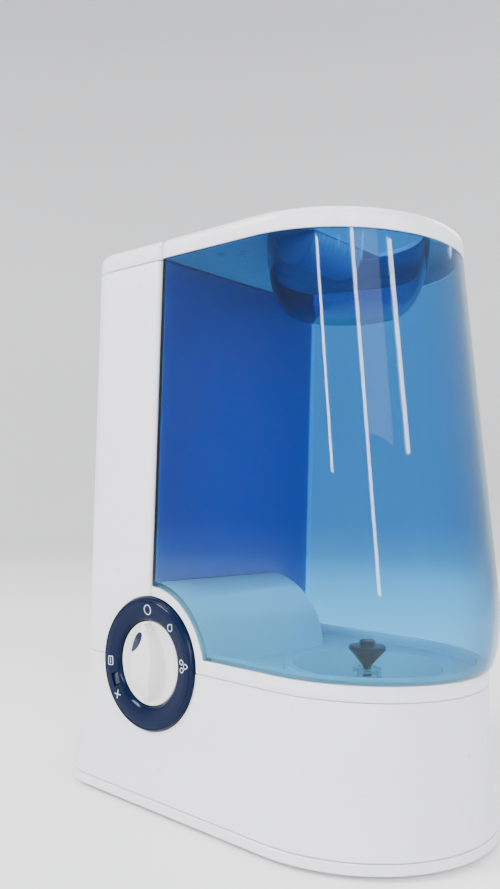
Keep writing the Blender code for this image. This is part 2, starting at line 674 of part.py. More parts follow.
def grip_blade(name):
    """A pointed oval blade up the knob's middle, narrowing towards its crest."""
    steps = 10
    length = KNOB_R - 1.2

    def section(y, width, reach):
        loop = []
        for side in (1, -1):
            for i in range(steps):
                t = -1 + 2 * i / steps
                loop.append((DIAL_X + side * width * cos(t * pi / 2) ** 0.8, y, DIAL_Z + side * reach * t))
        return loop

    rows = [(FACE_Y + 2.0, BLADE_HALF, length), (FACE_Y, BLADE_HALF, length),
            (BLADE_TOP + 2.2, BLADE_HALF * 0.82, length * 0.97),
            (BLADE_TOP + 0.6, BLADE_HALF * 0.6, length * 0.9),
            (BLADE_TOP, BLADE_HALF * 0.35, length * 0.8)]
    return loft(name, [section(*row) for row in rows], WHITE)


def lens_block(name, grow, depth, spec=NAVY, parent=None):
    """The pointer lens, a slim oval near the upper end of the blade."""
    lean = radians(-24.0)
    middle = (DIAL_X - 3.2, DIAL_Z + 11.2)
    loops = []
    for y in (BLADE_TOP - 0.1 - grow * 4, BLADE_TOP + 1.0 + depth):
        loop = []
        for i in range(20):
            a = 2 * pi * i / 20
            u, v = (2.3 + grow) * cos(a), (6.4 + grow) * sin(a)
            loop.append((middle[0] + u * cos(lean) - v * sin(lean), y,
                         middle[1] + u * sin(lean) + v * cos(lean)))
        loops.append(loop)
    return loft(name, loops, spec, parent)


def main():
    clear_scene()
    tower = empty("tower_frame", (*CHAMBER, DECK))
    cup = empty("medicine_cup_frame", (*CUP_SPOT, DECK), tower)
    tank = empty("tank_frame", (*NECK, DECK))
    cap = empty("tank_cap_axis", (*NECK, DECK), tank)
    valve = empty("valve_axis", (*NECK, DECK), cap)
    knob = empty("knob_axis", (DIAL_X, FACE_Y, DIAL_Z))
    make_bottom_plate()
    make_feet()
    make_plate_screws()
    make_lower_housing()
    make_water_tray()
    make_valve_pin()
    make_feed_tube()
    make_dial_housing()
    make_dial_ring()
    make_dial_parts()
    make_electrics()
    make_boiling_chamber()
    make_tower_shell(tower)
    make_tower_cap(tower)
    make_outlet_grille(tower)
    make_steam_duct(tower)
    make_medicine_cup(cup)
    make_tank_shell(tank)
    make_tank_cover(tank)
    make_handle_well(tank)
    make_handle_grip(tank)
    make_tank_cap(cap)
    make_valve(valve)
    make_valve_spring(cap)
    make_knob(knob)


main()
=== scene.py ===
"""Fine surfaces, finishes, light and camera for a steam room humidifier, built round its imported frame."""

import json
from math import acos, asin, cos, exp, hypot, pi, radians, sin, sqrt

import bpy
from bpy.props import FloatProperty, FloatVectorProperty, IntProperty, PointerProperty
from mathutils import Matrix, Vector


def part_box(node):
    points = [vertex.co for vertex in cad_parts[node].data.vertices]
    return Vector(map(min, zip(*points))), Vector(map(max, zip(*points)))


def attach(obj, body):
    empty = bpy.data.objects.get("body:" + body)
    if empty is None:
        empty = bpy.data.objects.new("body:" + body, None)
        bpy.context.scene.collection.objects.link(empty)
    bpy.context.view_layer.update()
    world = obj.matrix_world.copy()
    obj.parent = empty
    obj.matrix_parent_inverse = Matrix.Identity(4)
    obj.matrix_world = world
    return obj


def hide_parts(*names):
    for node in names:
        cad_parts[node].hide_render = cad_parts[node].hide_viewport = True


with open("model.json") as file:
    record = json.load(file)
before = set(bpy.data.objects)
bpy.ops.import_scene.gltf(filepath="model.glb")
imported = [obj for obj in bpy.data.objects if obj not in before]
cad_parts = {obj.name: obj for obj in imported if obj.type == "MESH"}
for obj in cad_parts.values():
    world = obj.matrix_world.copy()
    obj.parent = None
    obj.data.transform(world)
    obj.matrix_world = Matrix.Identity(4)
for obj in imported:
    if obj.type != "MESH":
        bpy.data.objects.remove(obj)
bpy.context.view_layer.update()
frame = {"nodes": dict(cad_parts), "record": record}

bl_info = {
    "name": "Steam Humidifier Finish",
    "version": (1, 0, 0),
    "blender": (4, 5, 0),
    "location": "View3D > Sidebar > Humidifier",
    "description": "Builds the moulded shells, water tank, dial and finishes of a steam humidifier",
    "category": "Object",
}

MM = 0.001


def span(node, axis):
    """A CAD node's lowest and highest value along an axis, in millimetres."""
    low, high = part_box(node)
    return low[axis] / MM, high[axis] / MM


def centre_of(node, *axes):
    """A CAD node's middle along the given axes, in millimetres."""
    return tuple(sum(span(node, axis)) / 2 for axis in axes)


def half_size(node, axis):
    """Half of a CAD node's size along an axis, in millimetres."""
    low, high = span(node, axis)
    return (high - low) / 2


GAP = 0.3     # clearance between neighbouring parts, in millimetres

# Sizes read from the frame, in millimetres
TANK_LEFT, HALF_WIDTH = span("water_tray", 0)
HALF_DEPTH = span("water_tray", 1)[1]
TOWER_RIGHT = span("tower_shell", 0)[1]
FOOT_OUT = span("lower_housing", 1)[1] - HALF_DEPTH
PLATE_LOW, PLATE_TOP = span("bottom_plate", 2)
HOUSING_LOW = PLATE_TOP + GAP
DECK = span("lower_housing", 2)[1]
SHELL_LOW, TOWER_TOP = span("tower_shell", 2)
COVER_LOW, HEIGHT = span("tank_cover", 2)
TANK_TOP = span("tank_shell", 2)[1]
BULGE_X = span("tank_shell", 0)[1]
BULGE_DEPTH = span("tank_shell", 1)[1]
TOP_X = span("tank_cover", 0)[1]
DIAL_X, DIAL_Z = centre_of("dial_ring", 0, 2)
RING_R = half_size("dial_ring", 0)
RING_FRONT = span("dial_ring", 1)[0]
DRUM_BACK = span("dial_housing", 1)[1]
KNOB_FRONT, KNOB_BACK = span("control_knob", 1)
KNOB_R = half_size("control_knob", 0)
NECK = centre_of("tank_cap", 0, 1)
DUCT = centre_of("steam_duct", 0, 1)
CHAMBER_R = half_size("boiling_cup", 1)
CUP = centre_of("medicine_cup", 0, 1)
FLANGE_R = half_size("medicine_cup", 0)
BOWL = centre_of("handle_well", 0, 1)
BOWL_HALF = (half_size("handle_well", 0), half_size("handle_well", 1))
BOWL_Z = span("handle_well", 2)
GRIP_X, GRIP_Y, GRIP_Z = (span("handle_grip", axis) for axis in range(3))
GLAND = centre_of("cord_gland", 0, 2)
SCREWS = [centre_of(f"plate_screw_{i}", 0, 1) for i in range(1, 5)]
FEET = [centre_of(f"rubber_foot_{i}", 0, 1) for i in range(1, 5)]

# Shapes that the frame's boxes don't tell, in millimetres
CORNER = 24.0                      # the body's rounded left corners
FLARE_TOP = 50.0                   # where the base begins to flare
BAND_TOP = 86.0                    # top of the tray's band
RIM = 3.4                          # width of the tray's rim
NEST = 4.0                         # how far the tank's foot sits inside the rim
BULGE_Z = 118.0                    # height of the tank's widest line
ARCH_R = 42.8                      # the tray's arch over the dial
ARCH_BACK, SLOPE_BACK = 28.0, 50.0 # where the arch ends at the back, and the slope behind it
FACE_Y = -HALF_DEPTH               # the front face
WELL_R, WELL_FLOOR = 46.3, 60.0    # the tray's well for the filler cap
EDGE_FALL = 5.0                    # height and inset of the soft edge round the covers
EDGE_INSET = 4.5
POST_R, POST_BORE_R = 4.5, 1.8     # screw posts in the base


# Settings -----------------------------------------------------------------------------------

class HumidifierSizes(bpy.types.PropertyGroup):
    """Sizes that a user may change, in metres."""

    wall: FloatProperty(name="Wall", description="Thickness of the moulded walls", default=0.0025,
                        min=0.0012, max=0.004, unit="LENGTH")
    edge: FloatProperty(name="Edge radius", description="Rounding of the parting edges", default=0.0007,
                        min=0.0002, max=0.0012, unit="LENGTH")
    rib_pitch: FloatProperty(name="Grip rib pitch", description="Distance between the grip's ribs",
                             default=0.0042, min=0.002, max=0.008, unit="LENGTH")
    rib_height: FloatProperty(name="Grip rib height", description="How far a rib stands off the grip",
                              default=0.0011, min=0.0003, max=0.002, unit="LENGTH")
    slot_count: IntProperty(name="Outlet slots", description="Slots in the steam outlet", default=7,
                            min=3, max=11)


class HumidifierColours(bpy.types.PropertyGroup):
    """Colours of the finishes."""

    white: FloatVectorProperty(name="White moulding", description="Tower, base, tray and cover",
                               subtype="COLOR", size=3, min=0, max=1, default=(0.79, 0.79, 0.83))
    knob: FloatVectorProperty(name="Knob", description="The control knob", subtype="COLOR", size=3,
                              min=0, max=1, default=(0.74, 0.73, 0.73))
    tank: FloatVectorProperty(name="Tank wall", description="Light that the upper wall lets through",
                              subtype="COLOR", size=3, min=0, max=1, default=(0.13, 0.44, 0.76))
    # The pale foot colour is painted light: the same blue plastic, made paler so the low front foot looks
    # brightly lit.
    foot_painted_light: FloatVectorProperty(name="Tank foot", description="Light that the foot's wall lets through",
                                   subtype="COLOR", size=3, min=0, max=1, default=(0.40, 0.88, 1.0))
    # The deep seam colour is painted shade: the tower's side wall in shade behind the tank, painted into the
    # wall.
    deep: FloatVectorProperty(name="Seam wall", description="Light that the wall by the tower lets through",
                              subtype="COLOR", size=3, min=0, max=1, default=(0.0005, 0.46, 1.0))
    dial: FloatVectorProperty(name="Dial ring", description="The glossy dial ring", subtype="COLOR",
                              size=3, min=0, max=1, default=(0.001, 0.006, 0.028))
    marks: FloatVectorProperty(name="Dial marks", description="Print on the dial ring", subtype="COLOR",
                               size=3, min=0, max=1, default=(0.55, 0.66, 0.80))
    valve: FloatVectorProperty(name="Valve", description="The filler valve", subtype="COLOR", size=3,
                               min=0, max=1, default=(0.010, 0.007, 0.022))


class HumidifierStage(bpy.types.PropertyGroup):
    """Camera, floor and light."""

    lens: FloatProperty(name="Lens", description="Focal length in millimetres", default=33.1, min=10,
                        max=200)
    camera: FloatVectorProperty(name="Camera place", description="Where the camera stands", size=3,
                                subtype="TRANSLATION", unit="LENGTH", default=(0.3032, -0.3839, 0.1740))
    floor: FloatVectorProperty(name="Floor", description="Colour of the floor", subtype="COLOR", size=3,
                               min=0, max=1, default=(0.92, 0.92, 0.93))
    light: FloatProperty(name="Light", description="Strength of all lamps together", default=1.0, min=0,
                         max=5)


# Meshes -------------------------------------------------------------------------------------

def make_object(name, points, faces, finish=None, sharp=38.0):
    """A mesh object at the origin from points in millimetres."""
    mesh = bpy.data.meshes.new(name)
    mesh.from_pydata([tuple(c * MM for c in p) for p in points], [], faces)
    mesh.update()
    mesh.shade_smooth()
    mesh.set_sharp_from_angle(angle=radians(sharp))
    if finish:
        mesh.materials.append(finish)
    made = bpy.data.objects.new(name, mesh)
    bpy.context.collection.objects.link(made)
    return made


def signed_volume(points, faces):
    total = 0.0
    for face in faces:
        first = Vector(points[face[0]])
        for second, third in zip(face[1:], face[2:]):
            total += first.dot(Vector(points[second]).cross(Vector(points[third])))
    return total


def skin(name, loops, finish=None, ring=False, sharp=38.0):
    """A closed body through loops of equal count: capped ends, or joined into a ring."""
    count = len(loops[0])
    points = [p for loop in loops for p in loop]
    faces = []
    for row in range(len(loops) if ring else len(loops) - 1):
        here, there = row * count, (row + 1) % len(loops) * count
        for i in range(count):
            j = (i + 1) % count
            faces.append((here + i, here + j, there + j, there + i))
    if not ring:
        faces.append(tuple(reversed(range(count))))
        faces.append(tuple(range((len(loops) - 1) * count, len(loops) * count)))
    if signed_volume(points, faces) < 0:
        faces = [tuple(reversed(face)) for face in faces]
    return make_object(name, points, faces, finish, sharp)


def circle(centre, radius, height, axis="Z", steps=96):
    angles = [2 * pi * i / steps for i in range(steps)]
    if axis == "Z":
        return [(centre[0] + radius * cos(a), centre[1] + radius * sin(a), height) for a in angles]
    return [(centre[0] + radius * cos(a), height, centre[1] + radius * sin(a)) for a in angles]


def turned(name, centre, profile, finish=None, axis="Z", ring=False, steps=96, sharp=38.0):
    """A turned body from (radius, height) pairs."""
    return skin(name, [circle(centre, r, h, axis, steps) for r, h in profile], finish, ring, sharp)


def rounded(corners, radius, steps=5):
    """A closed or open profile of (a, b) corners with each corner but the ends rounded."""
    out = [corners[0]]
    for before, here, after in zip(corners, corners[1:], corners[2:]):
        a, b, c = Vector(before), Vector(here), Vector(after)
        reach = min(radius, (a - b).length * 0.45, (c - b).length * 0.45)
        start, end = b + (a - b).normalized() * reach, b + (c - b).normalized() * reach
        for i in range(steps + 1):
            t = i / steps
            p = start * (1 - t) ** 2 + b * (2 * t * (1 - t)) + end * t * t
            out.append((p.x, p.y))
    return out + [corners[-1]]


def rounded_ring(corners, radius, steps=5):
    """The same for a closed profile."""
    closed = [corners[-1], *corners, corners[0]]
    return rounded(closed, radius, steps)[1:-1]


def apply_all(made):
    """Turns a piece with live modifiers into a plain mesh."""
    depsgraph = bpy.context.evaluated_depsgraph_get()
    mesh = bpy.data.meshes.new_from_object(made.evaluated_get(depsgraph), depsgraph=depsgraph)
    made.modifiers.clear()
    old = made.data
    made.data = mesh
    bpy.data.meshes.remove(old)
    mesh.name = made.name
    return made


def combine(made, tool, operation="DIFFERENCE", sharp=38.0):
    """Cuts or joins two bodies and throws the tool away."""
    step = made.modifiers.new("Shape", "BOOLEAN")
    step.operation = operation
    step.solver = "EXACT"
    step.object = tool
    apply_all(made)
    mesh = tool.data
    bpy.data.objects.remove(tool)
    bpy.data.meshes.remove(mesh)
    made.data.shade_smooth()
    made.data.set_sharp_from_angle(angle=radians(sharp))
    return made


def plan(left, right, depth, left_radius, z, right_radius=None, corner_steps=12, nose_steps=64):
    """The body's outline at a height; the right end is half round unless given a radius."""
    loop = []

    def arc(cx, cy, radius, first, last, steps):
        for i in range(steps + 1):
            a = radians(first + (last - first) * i / steps)
            loop.append((cx + radius * cos(a), cy + radius * sin(a), z))

    def straight(x0, x1, y, steps=12):
        for i in range(1, steps):
            loop.append((x0 + (x1 - x0) * i / steps, y, z))

    right_start = right - (depth if right_radius is None else right_radius)
    arc(left + left_radius, left_radius - depth, left_radius, 180, 270, corner_steps)
    straight(left + left_radius, right_start, -depth)
    if right_radius is None:
        arc(right_start, 0.0, depth, -90, 90, nose_steps)
    else:
        arc(right_start, right_radius - depth, right_radius, 270, 360, corner_steps)
        arc(right_start, depth - right_radius, right_radius, 0, 90, corner_steps)
    straight(right_start, left + left_radius, depth)
    arc(left + left_radius, depth - left_radius, left_radius, 90, 180, corner_steps)
    return loop


def body_plan(z, grow=0.0):
    return plan(-HALF_WIDTH - grow, HALF_WIDTH + grow, HALF_DEPTH + grow, CORNER + grow, z)


def flare(z):
    """How far the base stands out: a hollow curve from the waist to the foot."""
    reach = (FLARE_TOP - z) / (FLARE_TOP - PLATE_TOP)
    return FOOT_OUT * max(reach, 0.0) ** 2


def tower_plan(z, inset=0.0):
    lean = (BULGE_DEPTH - HALF_DEPTH) * min(max((z - DECK) / (COVER_LOW - DECK), 0.0), 1.0)
    return plan(inset - HALF_WIDTH, TOWER_RIGHT - inset, HALF_DEPTH + lean - inset,
                max(CORNER - inset, 2.0), z, max(3.0 - inset, 0.6))


def tank_station(z):
    """Right end and half depth of the tank: tucked in at the tray, then drawn in upwards."""
    if z < BULGE_Z:
        t = min((BULGE_Z - z) / (BULGE_Z - BAND_TOP - GAP), 1.0)
        tuck = 1.0 - sqrt(max(1.0 - t * t, 0.0))
        return BULGE_X - (BULGE_X - HALF_WIDTH) * tuck, BULGE_DEPTH - (BULGE_DEPTH - HALF_DEPTH) * tuck
    t = (z - BULGE_Z) / (COVER_LOW - BULGE_Z)
    return BULGE_X + (TOP_X - BULGE_X) * t, BULGE_DEPTH


def tank_plan(z, inset=0.0):
    right, depth = tank_station(z)
    return plan(TANK_LEFT + inset, right - inset, depth - inset, max(3.0 - inset, 0.6), z)


def nest_plan(z, inset):
    return plan(TANK_LEFT + inset, HALF_WIDTH - inset, HALF_DEPTH - inset, 2.0, z)


def arch_block(name, radius, front, shift, z0, x0):
    """A quarter-round block over the dial drum that slopes down to the tray at its back."""
    steps = 40

    def section(y, r):
        loop = [(x0, y, z0)]
        first, last = 0.0, pi / 2
        if z0 < DIAL_Z:
            loop.append((DIAL_X + r, y, z0))
        else:
            first = asin((z0 - DIAL_Z) / r)
        if x0 > DIAL_X:
            last = acos((x0 - DIAL_X) / r)
        for i in range(steps + 1):
            a = first + (last - first) * i / steps
            loop.append((DIAL_X + r * cos(a), y, DIAL_Z + r * sin(a)))
        if x0 < DIAL_X:
            loop.append((x0, y, DIAL_Z + r))
        return loop

    rows = [(front, radius), (ARCH_BACK + shift, radius), (SLOPE_BACK + shift, radius * 0.3)]
    return skin(name, [section(*row) for row in rows])


def rod(name, centre, radius, low, high, axis="Z", steps=96):
    return turned(name, centre, [(radius, low), (radius, high)], axis=axis, steps=steps)


def block(name, low, high):
    base = [(low[0], low[1]), (high[0], low[1]), (high[0], high[1]), (low[0], high[1])]
    return skin(name, [[(x, y, z) for x, y in base] for z in (low[2], high[2])])


def oval(centre, half_x, half_y, z, steps=96):
    angles = [2 * pi * i / steps for i in range(steps)]
    return [(centre[0] + half_x * cos(a), centre[1] + half_y * sin(a), z) for a in angles]


# Shader groups ------------------------------------------------------------------------------

def new_tree(name, kind, inputs, outputs):
    """A node tree with its named sockets, and its two end nodes. An input is name, type and default."""
    tree = bpy.data.node_groups.new(name, kind)
    for label, socket_type, *default in inputs:
        socket = tree.interface.new_socket(label, in_out="INPUT", socket_type=socket_type)
        if default:
            socket.default_value = default[0]
    for label, socket_type in outputs:
        tree.interface.new_socket(label, in_out="OUTPUT", socket_type=socket_type)
    return tree, tree.nodes.new("NodeGroupInput"), tree.nodes.new("NodeGroupOutput")


def add_node(tree, kind, sockets=None, **values):
    """A node with its properties and the constants on its own sockets."""
    node = tree.nodes.new(kind)
    for name, value in values.items():
        setattr(node, name, value)
    for socket, value in (sockets or {}).items():
        node.inputs[socket].default_value = value
    return node


def join(tree, *links):
    """Links nodes. Each link is a node, its output, the next node and its input."""
    for source, output, target, entry in links:
        tree.links.new(source.outputs[output], target.inputs[entry])


def moulded_grain_group():
    """Fine spark-eroded grain and the slow waviness of a moulded wall."""
    tree, start, end = new_tree(
        "Moulded Grain", "ShaderNodeTree",
        [("Grain Scale", "NodeSocketFloat", 2600.0), ("Grain Depth", "NodeSocketFloat", 0.05),
         ("Wave Scale", "NodeSocketFloat", 18.0), ("Wave Depth", "NodeSocketFloat", 0.03)],
        [("Normal", "NodeSocketVector"), ("Grain", "NodeSocketFloat")])
    place = tree.nodes.new("ShaderNodeTexCoord")
    grain = add_node(tree, "ShaderNodeTexNoise", {"Detail": 2.0})
    wave = add_node(tree, "ShaderNodeTexNoise", {"Detail": 1.0})
    coarse = add_node(tree, "ShaderNodeBump", {"Distance": 0.002})
    fine = add_node(tree, "ShaderNodeBump", {"Distance": 0.0001})
    join(tree, (place, "Object", grain, "Vector"), (place, "Object", wave, "Vector"),
         (start, "Grain Scale", grain, "Scale"), (start, "Wave Scale", wave, "Scale"),
         (start, "Wave Depth", coarse, "Strength"), (start, "Grain Depth", fine, "Strength"),
         (wave, "Fac", coarse, "Height"), (grain, "Fac", fine, "Height"),
         (coarse, "Normal", fine, "Normal"), (fine, "Normal", end, "Normal"),
         (grain, "Fac", end, "Grain"))
    return tree


def tone_drift_group():
    """Slow change of colour and gloss over a surface, with a trace of handling."""
    tree, start, end = new_tree(
        "Tone Drift", "ShaderNodeTree",
        [("Color", "NodeSocketColor", (0.8, 0.8, 0.8, 1.0)),
         ("Tint", "NodeSocketColor", (0.7, 0.7, 0.7, 1.0)),
         ("Amount", "NodeSocketFloat", 0.2), ("Scale", "NodeSocketFloat", 9.0),
         ("Gloss Low", "NodeSocketFloat", 0.28), ("Gloss High", "NodeSocketFloat", 0.38)],
        [("Color", "NodeSocketColor"), ("Roughness", "NodeSocketFloat")])
    place = tree.nodes.new("ShaderNodeTexCoord")
    cloud = add_node(tree, "ShaderNodeTexNoise", {"Detail": 4.0})
    smear = add_node(tree, "ShaderNodeTexNoise", {"Scale": 46.0, "Detail": 5.0})
    weight = add_node(tree, "ShaderNodeMath", operation="MULTIPLY")
    blend = add_node(tree, "ShaderNodeMix", data_type="RGBA")
    gloss = add_node(tree, "ShaderNodeMapRange", {"From Min": 0.3, "From Max": 0.7})
    join(tree, (place, "Object", cloud, "Vector"), (place, "Object", smear, "Vector"),
         (start, "Scale", cloud, "Scale"), (cloud, "Fac", weight, 0), (start, "Amount", weight, 1),
         (weight, 0, blend, "Factor"), (start, "Color", blend, "A"), (start, "Tint", blend, "B"),
         (smear, "Fac", gloss, "Value"), (start, "Gloss Low", gloss, "To Min"),
         (start, "Gloss High", gloss, "To Max"), (blend, "Result", end, "Color"),
         (gloss, "Result", end, "Roughness"))
    return tree


def brushed_group():
    """Fine parallel lines left by rolling or drawing."""
    tree, start, end = new_tree(
        "Brushed Lines", "ShaderNodeTree",
        [("Scale", "NodeSocketVector", (3000.0, 90.0, 3000.0)), ("Depth", "NodeSocketFloat", 0.25)],
        [("Normal", "NodeSocketVector"), ("Lines", "NodeSocketFloat")])
    place = tree.nodes.new("ShaderNodeTexCoord")
    stretch = add_node(tree, "ShaderNodeVectorMath", operation="MULTIPLY")
    lines = add_node(tree, "ShaderNodeTexNoise", {"Scale": 1.0})
    bump = add_node(tree, "ShaderNodeBump", {"Distance": 0.0001})
    join(tree, (place, "Object", stretch, 0), (start, "Scale", stretch, 1), (stretch, 0, lines, "Vector"),
         (start, "Depth", bump, "Strength"), (lines, "Fac", bump, "Height"),
         (bump, "Normal", end, "Normal"), (lines, "Fac", end, "Lines"))
    return tree


def wall_painted_light_shade_group():
    """Colour of a clear moulding: pale at its front foot as painted light, deeper elsewhere, deepest at the
    seam as painted shade from the tower behind.
    """
    tree, start, end = new_tree(
        "Wall Painted Light And Shade", "ShaderNodeTree",
        [("Color", "NodeSocketColor", (0.2, 0.5, 0.8, 1.0)),
         ("Foot", "NodeSocketColor", (0.5, 0.9, 1.0, 1.0)),
         ("Deep", "NodeSocketColor", (0.0, 0.2, 0.8, 1.0)), ("Foot Height", "NodeSocketFloat", 0.118),
         ("Upper Height", "NodeSocketFloat", 0.165), ("Edge", "NodeSocketFloat", -0.0429)],
        [("Color", "NodeSocketColor")])
    place = tree.nodes.new("ShaderNodeTexCoord")
    split = tree.nodes.new("ShaderNodeSeparateXYZ")
    # rise, rear and upward paint light: the pale foot colour low at the front, the plain tint higher up and
    # at the back.
    rise = add_node(tree, "ShaderNodeMapRange", interpolation_type="SMOOTHSTEP")
    # near and seam paint shade: the deep colour on the wall next to the tower.
    near = add_node(tree, "ShaderNodeMath", operation="LESS_THAN")
    upward = add_node(tree, "ShaderNodeMix", data_type="RGBA")
    seam = add_node(tree, "ShaderNodeMix", data_type="RGBA")
    rear = add_node(tree, "ShaderNodeMapRange", {"From Min": -0.02, "From Max": 0.03},
                    interpolation_type="SMOOTHSTEP")
    either = add_node(tree, "ShaderNodeMath", operation="MAXIMUM")
    join(tree, (place, "Object", split, 0), (split, "Z", rise, "Value"),
         (start, "Foot Height", rise, "From Min"), (start, "Upper Height", rise, "From Max"),
         (split, "X", near, 0), (start, "Edge", near, 1), (split, "Y", rear, "Value"),
         (rise, "Result", either, 0), (rear, "Result", either, 1), (either, 0, upward, "Factor"),
         (start, "Foot", upward, "A"), (start, "Color", upward, "B"), (near, 0, seam, "Factor"),
         (upward, "Result", seam, "A"), (start, "Deep", seam, "B"), (seam, "Result", end, "Color"))
    return tree


GROUP_MAKERS = {"Wall Painted Light And Shade": wall_painted_light_shade_group, "Moulded Grain": moulded_grain_group,
                "Tone Drift": tone_drift_group, "Brushed Lines": brushed_group}


def group_node(tree, name, **values):
    """Places a shared group in a material with its own values."""
    shared = bpy.data.node_groups.get(name) or GROUP_MAKERS[name]()
    node = tree.nodes.new("ShaderNodeGroup")
    node.node_tree = shared
    for label, value in values.items():
        node.inputs[label.replace("_", " ")].default_value = value
    return node


# Finishes -----------------------------------------------------------------------------------

def new_finish(name, **constants):
    """A material with one Principled BSDF and constants on its own sockets."""
    finish = bpy.data.materials.new(name)
    finish.use_nodes = True
    shader = finish.node_tree.nodes["Principled BSDF"]
    for label, value in constants.items():
        shader.inputs[label.replace("_", " ")].default_value = value
    return finish, finish.node_tree, shader


def colour(rgb):
    return (rgb[0], rgb[1], rgb[2], 1.0)


def darker(rgb, factor):
    return tuple(c * factor for c in rgb)


def plastic(name, rgb, gloss, grain=0.05, wave=0.03, amount=0.25, **constants):
    """Moulded plastic: fine grain, slow waviness, a drift of tone and of gloss."""
    finish, tree, shader = new_finish(name, **constants)
    tone = group_node(tree, "Tone Drift", Color=colour(rgb), Tint=colour(darker(rgb, 0.88)), Amount=amount,
                      Gloss_Low=gloss[0], Gloss_High=gloss[1])
    skin_grain = group_node(tree, "Moulded Grain", Grain_Depth=grain, Wave_Depth=wave)
    join(tree, (tone, "Color", shader, "Base Color"), (tone, "Roughness", shader, "Roughness"),
         (skin_grain, "Normal", shader, "Normal"))
    return finish


def metal(name, rgb, gloss, scale=(3000.0, 90.0, 3000.0), depth=0.25):
    """Bare metal with drawn lines."""
    finish, tree, shader = new_finish(name, Metallic=1.0)
    tone = group_node(tree, "Tone Drift", Color=colour(rgb), Tint=colour(darker(rgb, 0.75)), Amount=0.4,
                      Scale=40.0, Gloss_Low=gloss[0], Gloss_High=gloss[1])
    lines = group_node(tree, "Brushed Lines", Scale=scale, Depth=depth)
    join(tree, (tone, "Color", shader, "Base Color"), (tone, "Roughness", shader, "Roughness"),
         (lines, "Normal", shader, "Normal"))
    return finish


def clear(name, rgb, gloss, wave=0.02, through=1.0, **constants):
    """Clear moulded plastic that tints the light in each wall."""
    return plastic(name, rgb, gloss, grain=0.0, wave=wave, amount=0.15, Transmission_Weight=through,
                   **constants)


def tank_moulding(name, colours):
    """The tank's clear blue: deeper where the light slants through the wall, with painted light on its foot
    and painted shade by the tower.
    """
    finish = clear(name, colours.tank, (0.015, 0.035), IOR=1.30)
    tree = finish.node_tree
    shader = tree.nodes["Principled BSDF"]
    tone = shader.inputs["Base Color"].links[0].from_node
    # This group paints light on the low front foot and paints shade on the wall by the tower.
    depth = group_node(tree, "Wall Painted Light And Shade", Foot=colour(colours.foot_painted_light), Deep=colour(colours.deep),
                       Edge=(TANK_LEFT + 2.8) * MM)
    slant = add_node(tree, "ShaderNodeLayerWeight", {"Blend": 0.5})
    steep = add_node(tree, "ShaderNodeMath", {1: 2.4}, operation="POWER")
    blend = add_node(tree, "ShaderNodeMix", {"B": colour(darker(colours.tank, 0.06))}, data_type="RGBA")
    join(tree, (tone, "Color", depth, "Color"), (slant, "Facing", steep, 0), (steep, 0, blend, "Factor"),
         (depth, "Color", blend, "A"), (blend, "Result", shader, "Base Color"))
    return finish


def finish_named(name):
    """A finish by name, made when it is first asked for."""
    known = bpy.data.materials.get(name)
    if known:
        return known
    colours = bpy.context.scene.humidifier_colours
    makers = {
        "White Moulding": lambda n: plastic(n, colours.white, (0.27, 0.36), grain=0.06, IOR=1.5),
        "Knob Moulding": lambda n: plastic(n, colours.knob, (0.22, 0.30), grain=0.02, IOR=1.5),
        "Tank Moulding": lambda n: tank_moulding(n, colours),
        # Painted light: a paler, mostly diffuse copy of the tank plastic, so the foot looks brightly lit.
        "Tank Foot Painted Light": lambda n: clear(n, (0.60, 0.84, 1.0), (0.06, 0.12), through=0.2, IOR=1.30),
        "Dial Gloss": lambda n: plastic(n, colours.dial, (0.10, 0.16), grain=0.0, wave=0.01,
                                        Specular_IOR_Level=0.06, Coat_Weight=0.10,
                                        Coat_Roughness=0.04),
        "Dial Print": lambda n: plastic(n, colours.marks, (0.30, 0.40), grain=0.0),
        "Valve Moulding": lambda n: plastic(n, colours.valve, (0.18, 0.28), grain=0.02,
                                            Specular_IOR_Level=0.15),
        "Lens Gloss": lambda n: plastic(n, (0.006, 0.010, 0.035), (0.05, 0.09), grain=0.0, wave=0.0,
                                        Specular_IOR_Level=0.2, Coat_Weight=0.3, Coat_Roughness=0.03),
        "Dark Moulding": lambda n: plastic(n, (0.016, 0.016, 0.022), (0.32, 0.45), grain=0.10),
        "Foot Rubber": lambda n: plastic(n, (0.035, 0.035, 0.038), (0.62, 0.78), grain=0.25),
        "Silicone": lambda n: plastic(n, (0.72, 0.72, 0.68), (0.48, 0.60), grain=0.12,
                                      Subsurface_Weight=0.15, Subsurface_Scale=0.003),
        "Drawn Steel": lambda n: metal(n, (0.60, 0.60, 0.62), (0.24, 0.36)),
        "Cast Aluminium": lambda n: metal(n, (0.66, 0.66, 0.68), (0.40, 0.55), (900.0, 900.0, 900.0), 0.5),
        "Plain Brass": lambda n: metal(n, (0.72, 0.53, 0.22), (0.25, 0.38)),
        "Solder Mask": lambda n: plastic(n, (0.02, 0.16, 0.06), (0.25, 0.40), grain=0.15),
        "Clear Moulding": lambda n: clear(n, (0.90, 0.94, 0.97), (0.04, 0.09), IOR=1.49),
    }
    return makers[name](name)


SLOT_FINISH = {"white_plastic": "White Moulding", "blue_clear_plastic": "Tank Moulding",
               "navy_plastic": "Dial Gloss", "dark_plastic": "Dark Moulding", "soft_rubber": "Foot Rubber",
               "silicone": "Silicone", "steel": "Drawn Steel", "aluminium": "Cast Aluminium",
               "brass": "Plain Brass", "circuit_board": "Solder Mask", "clear_plastic": "Clear Moulding"}


def settle(piece, body, slot, *nodes):
    """Hands a finished piece to its body and hides the CAD nodes it stands for; the slot is not used."""
    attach(piece, body)
    if nodes:
        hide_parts(*nodes)
    return piece


# Base ---------------------------------------------------------------------------------------

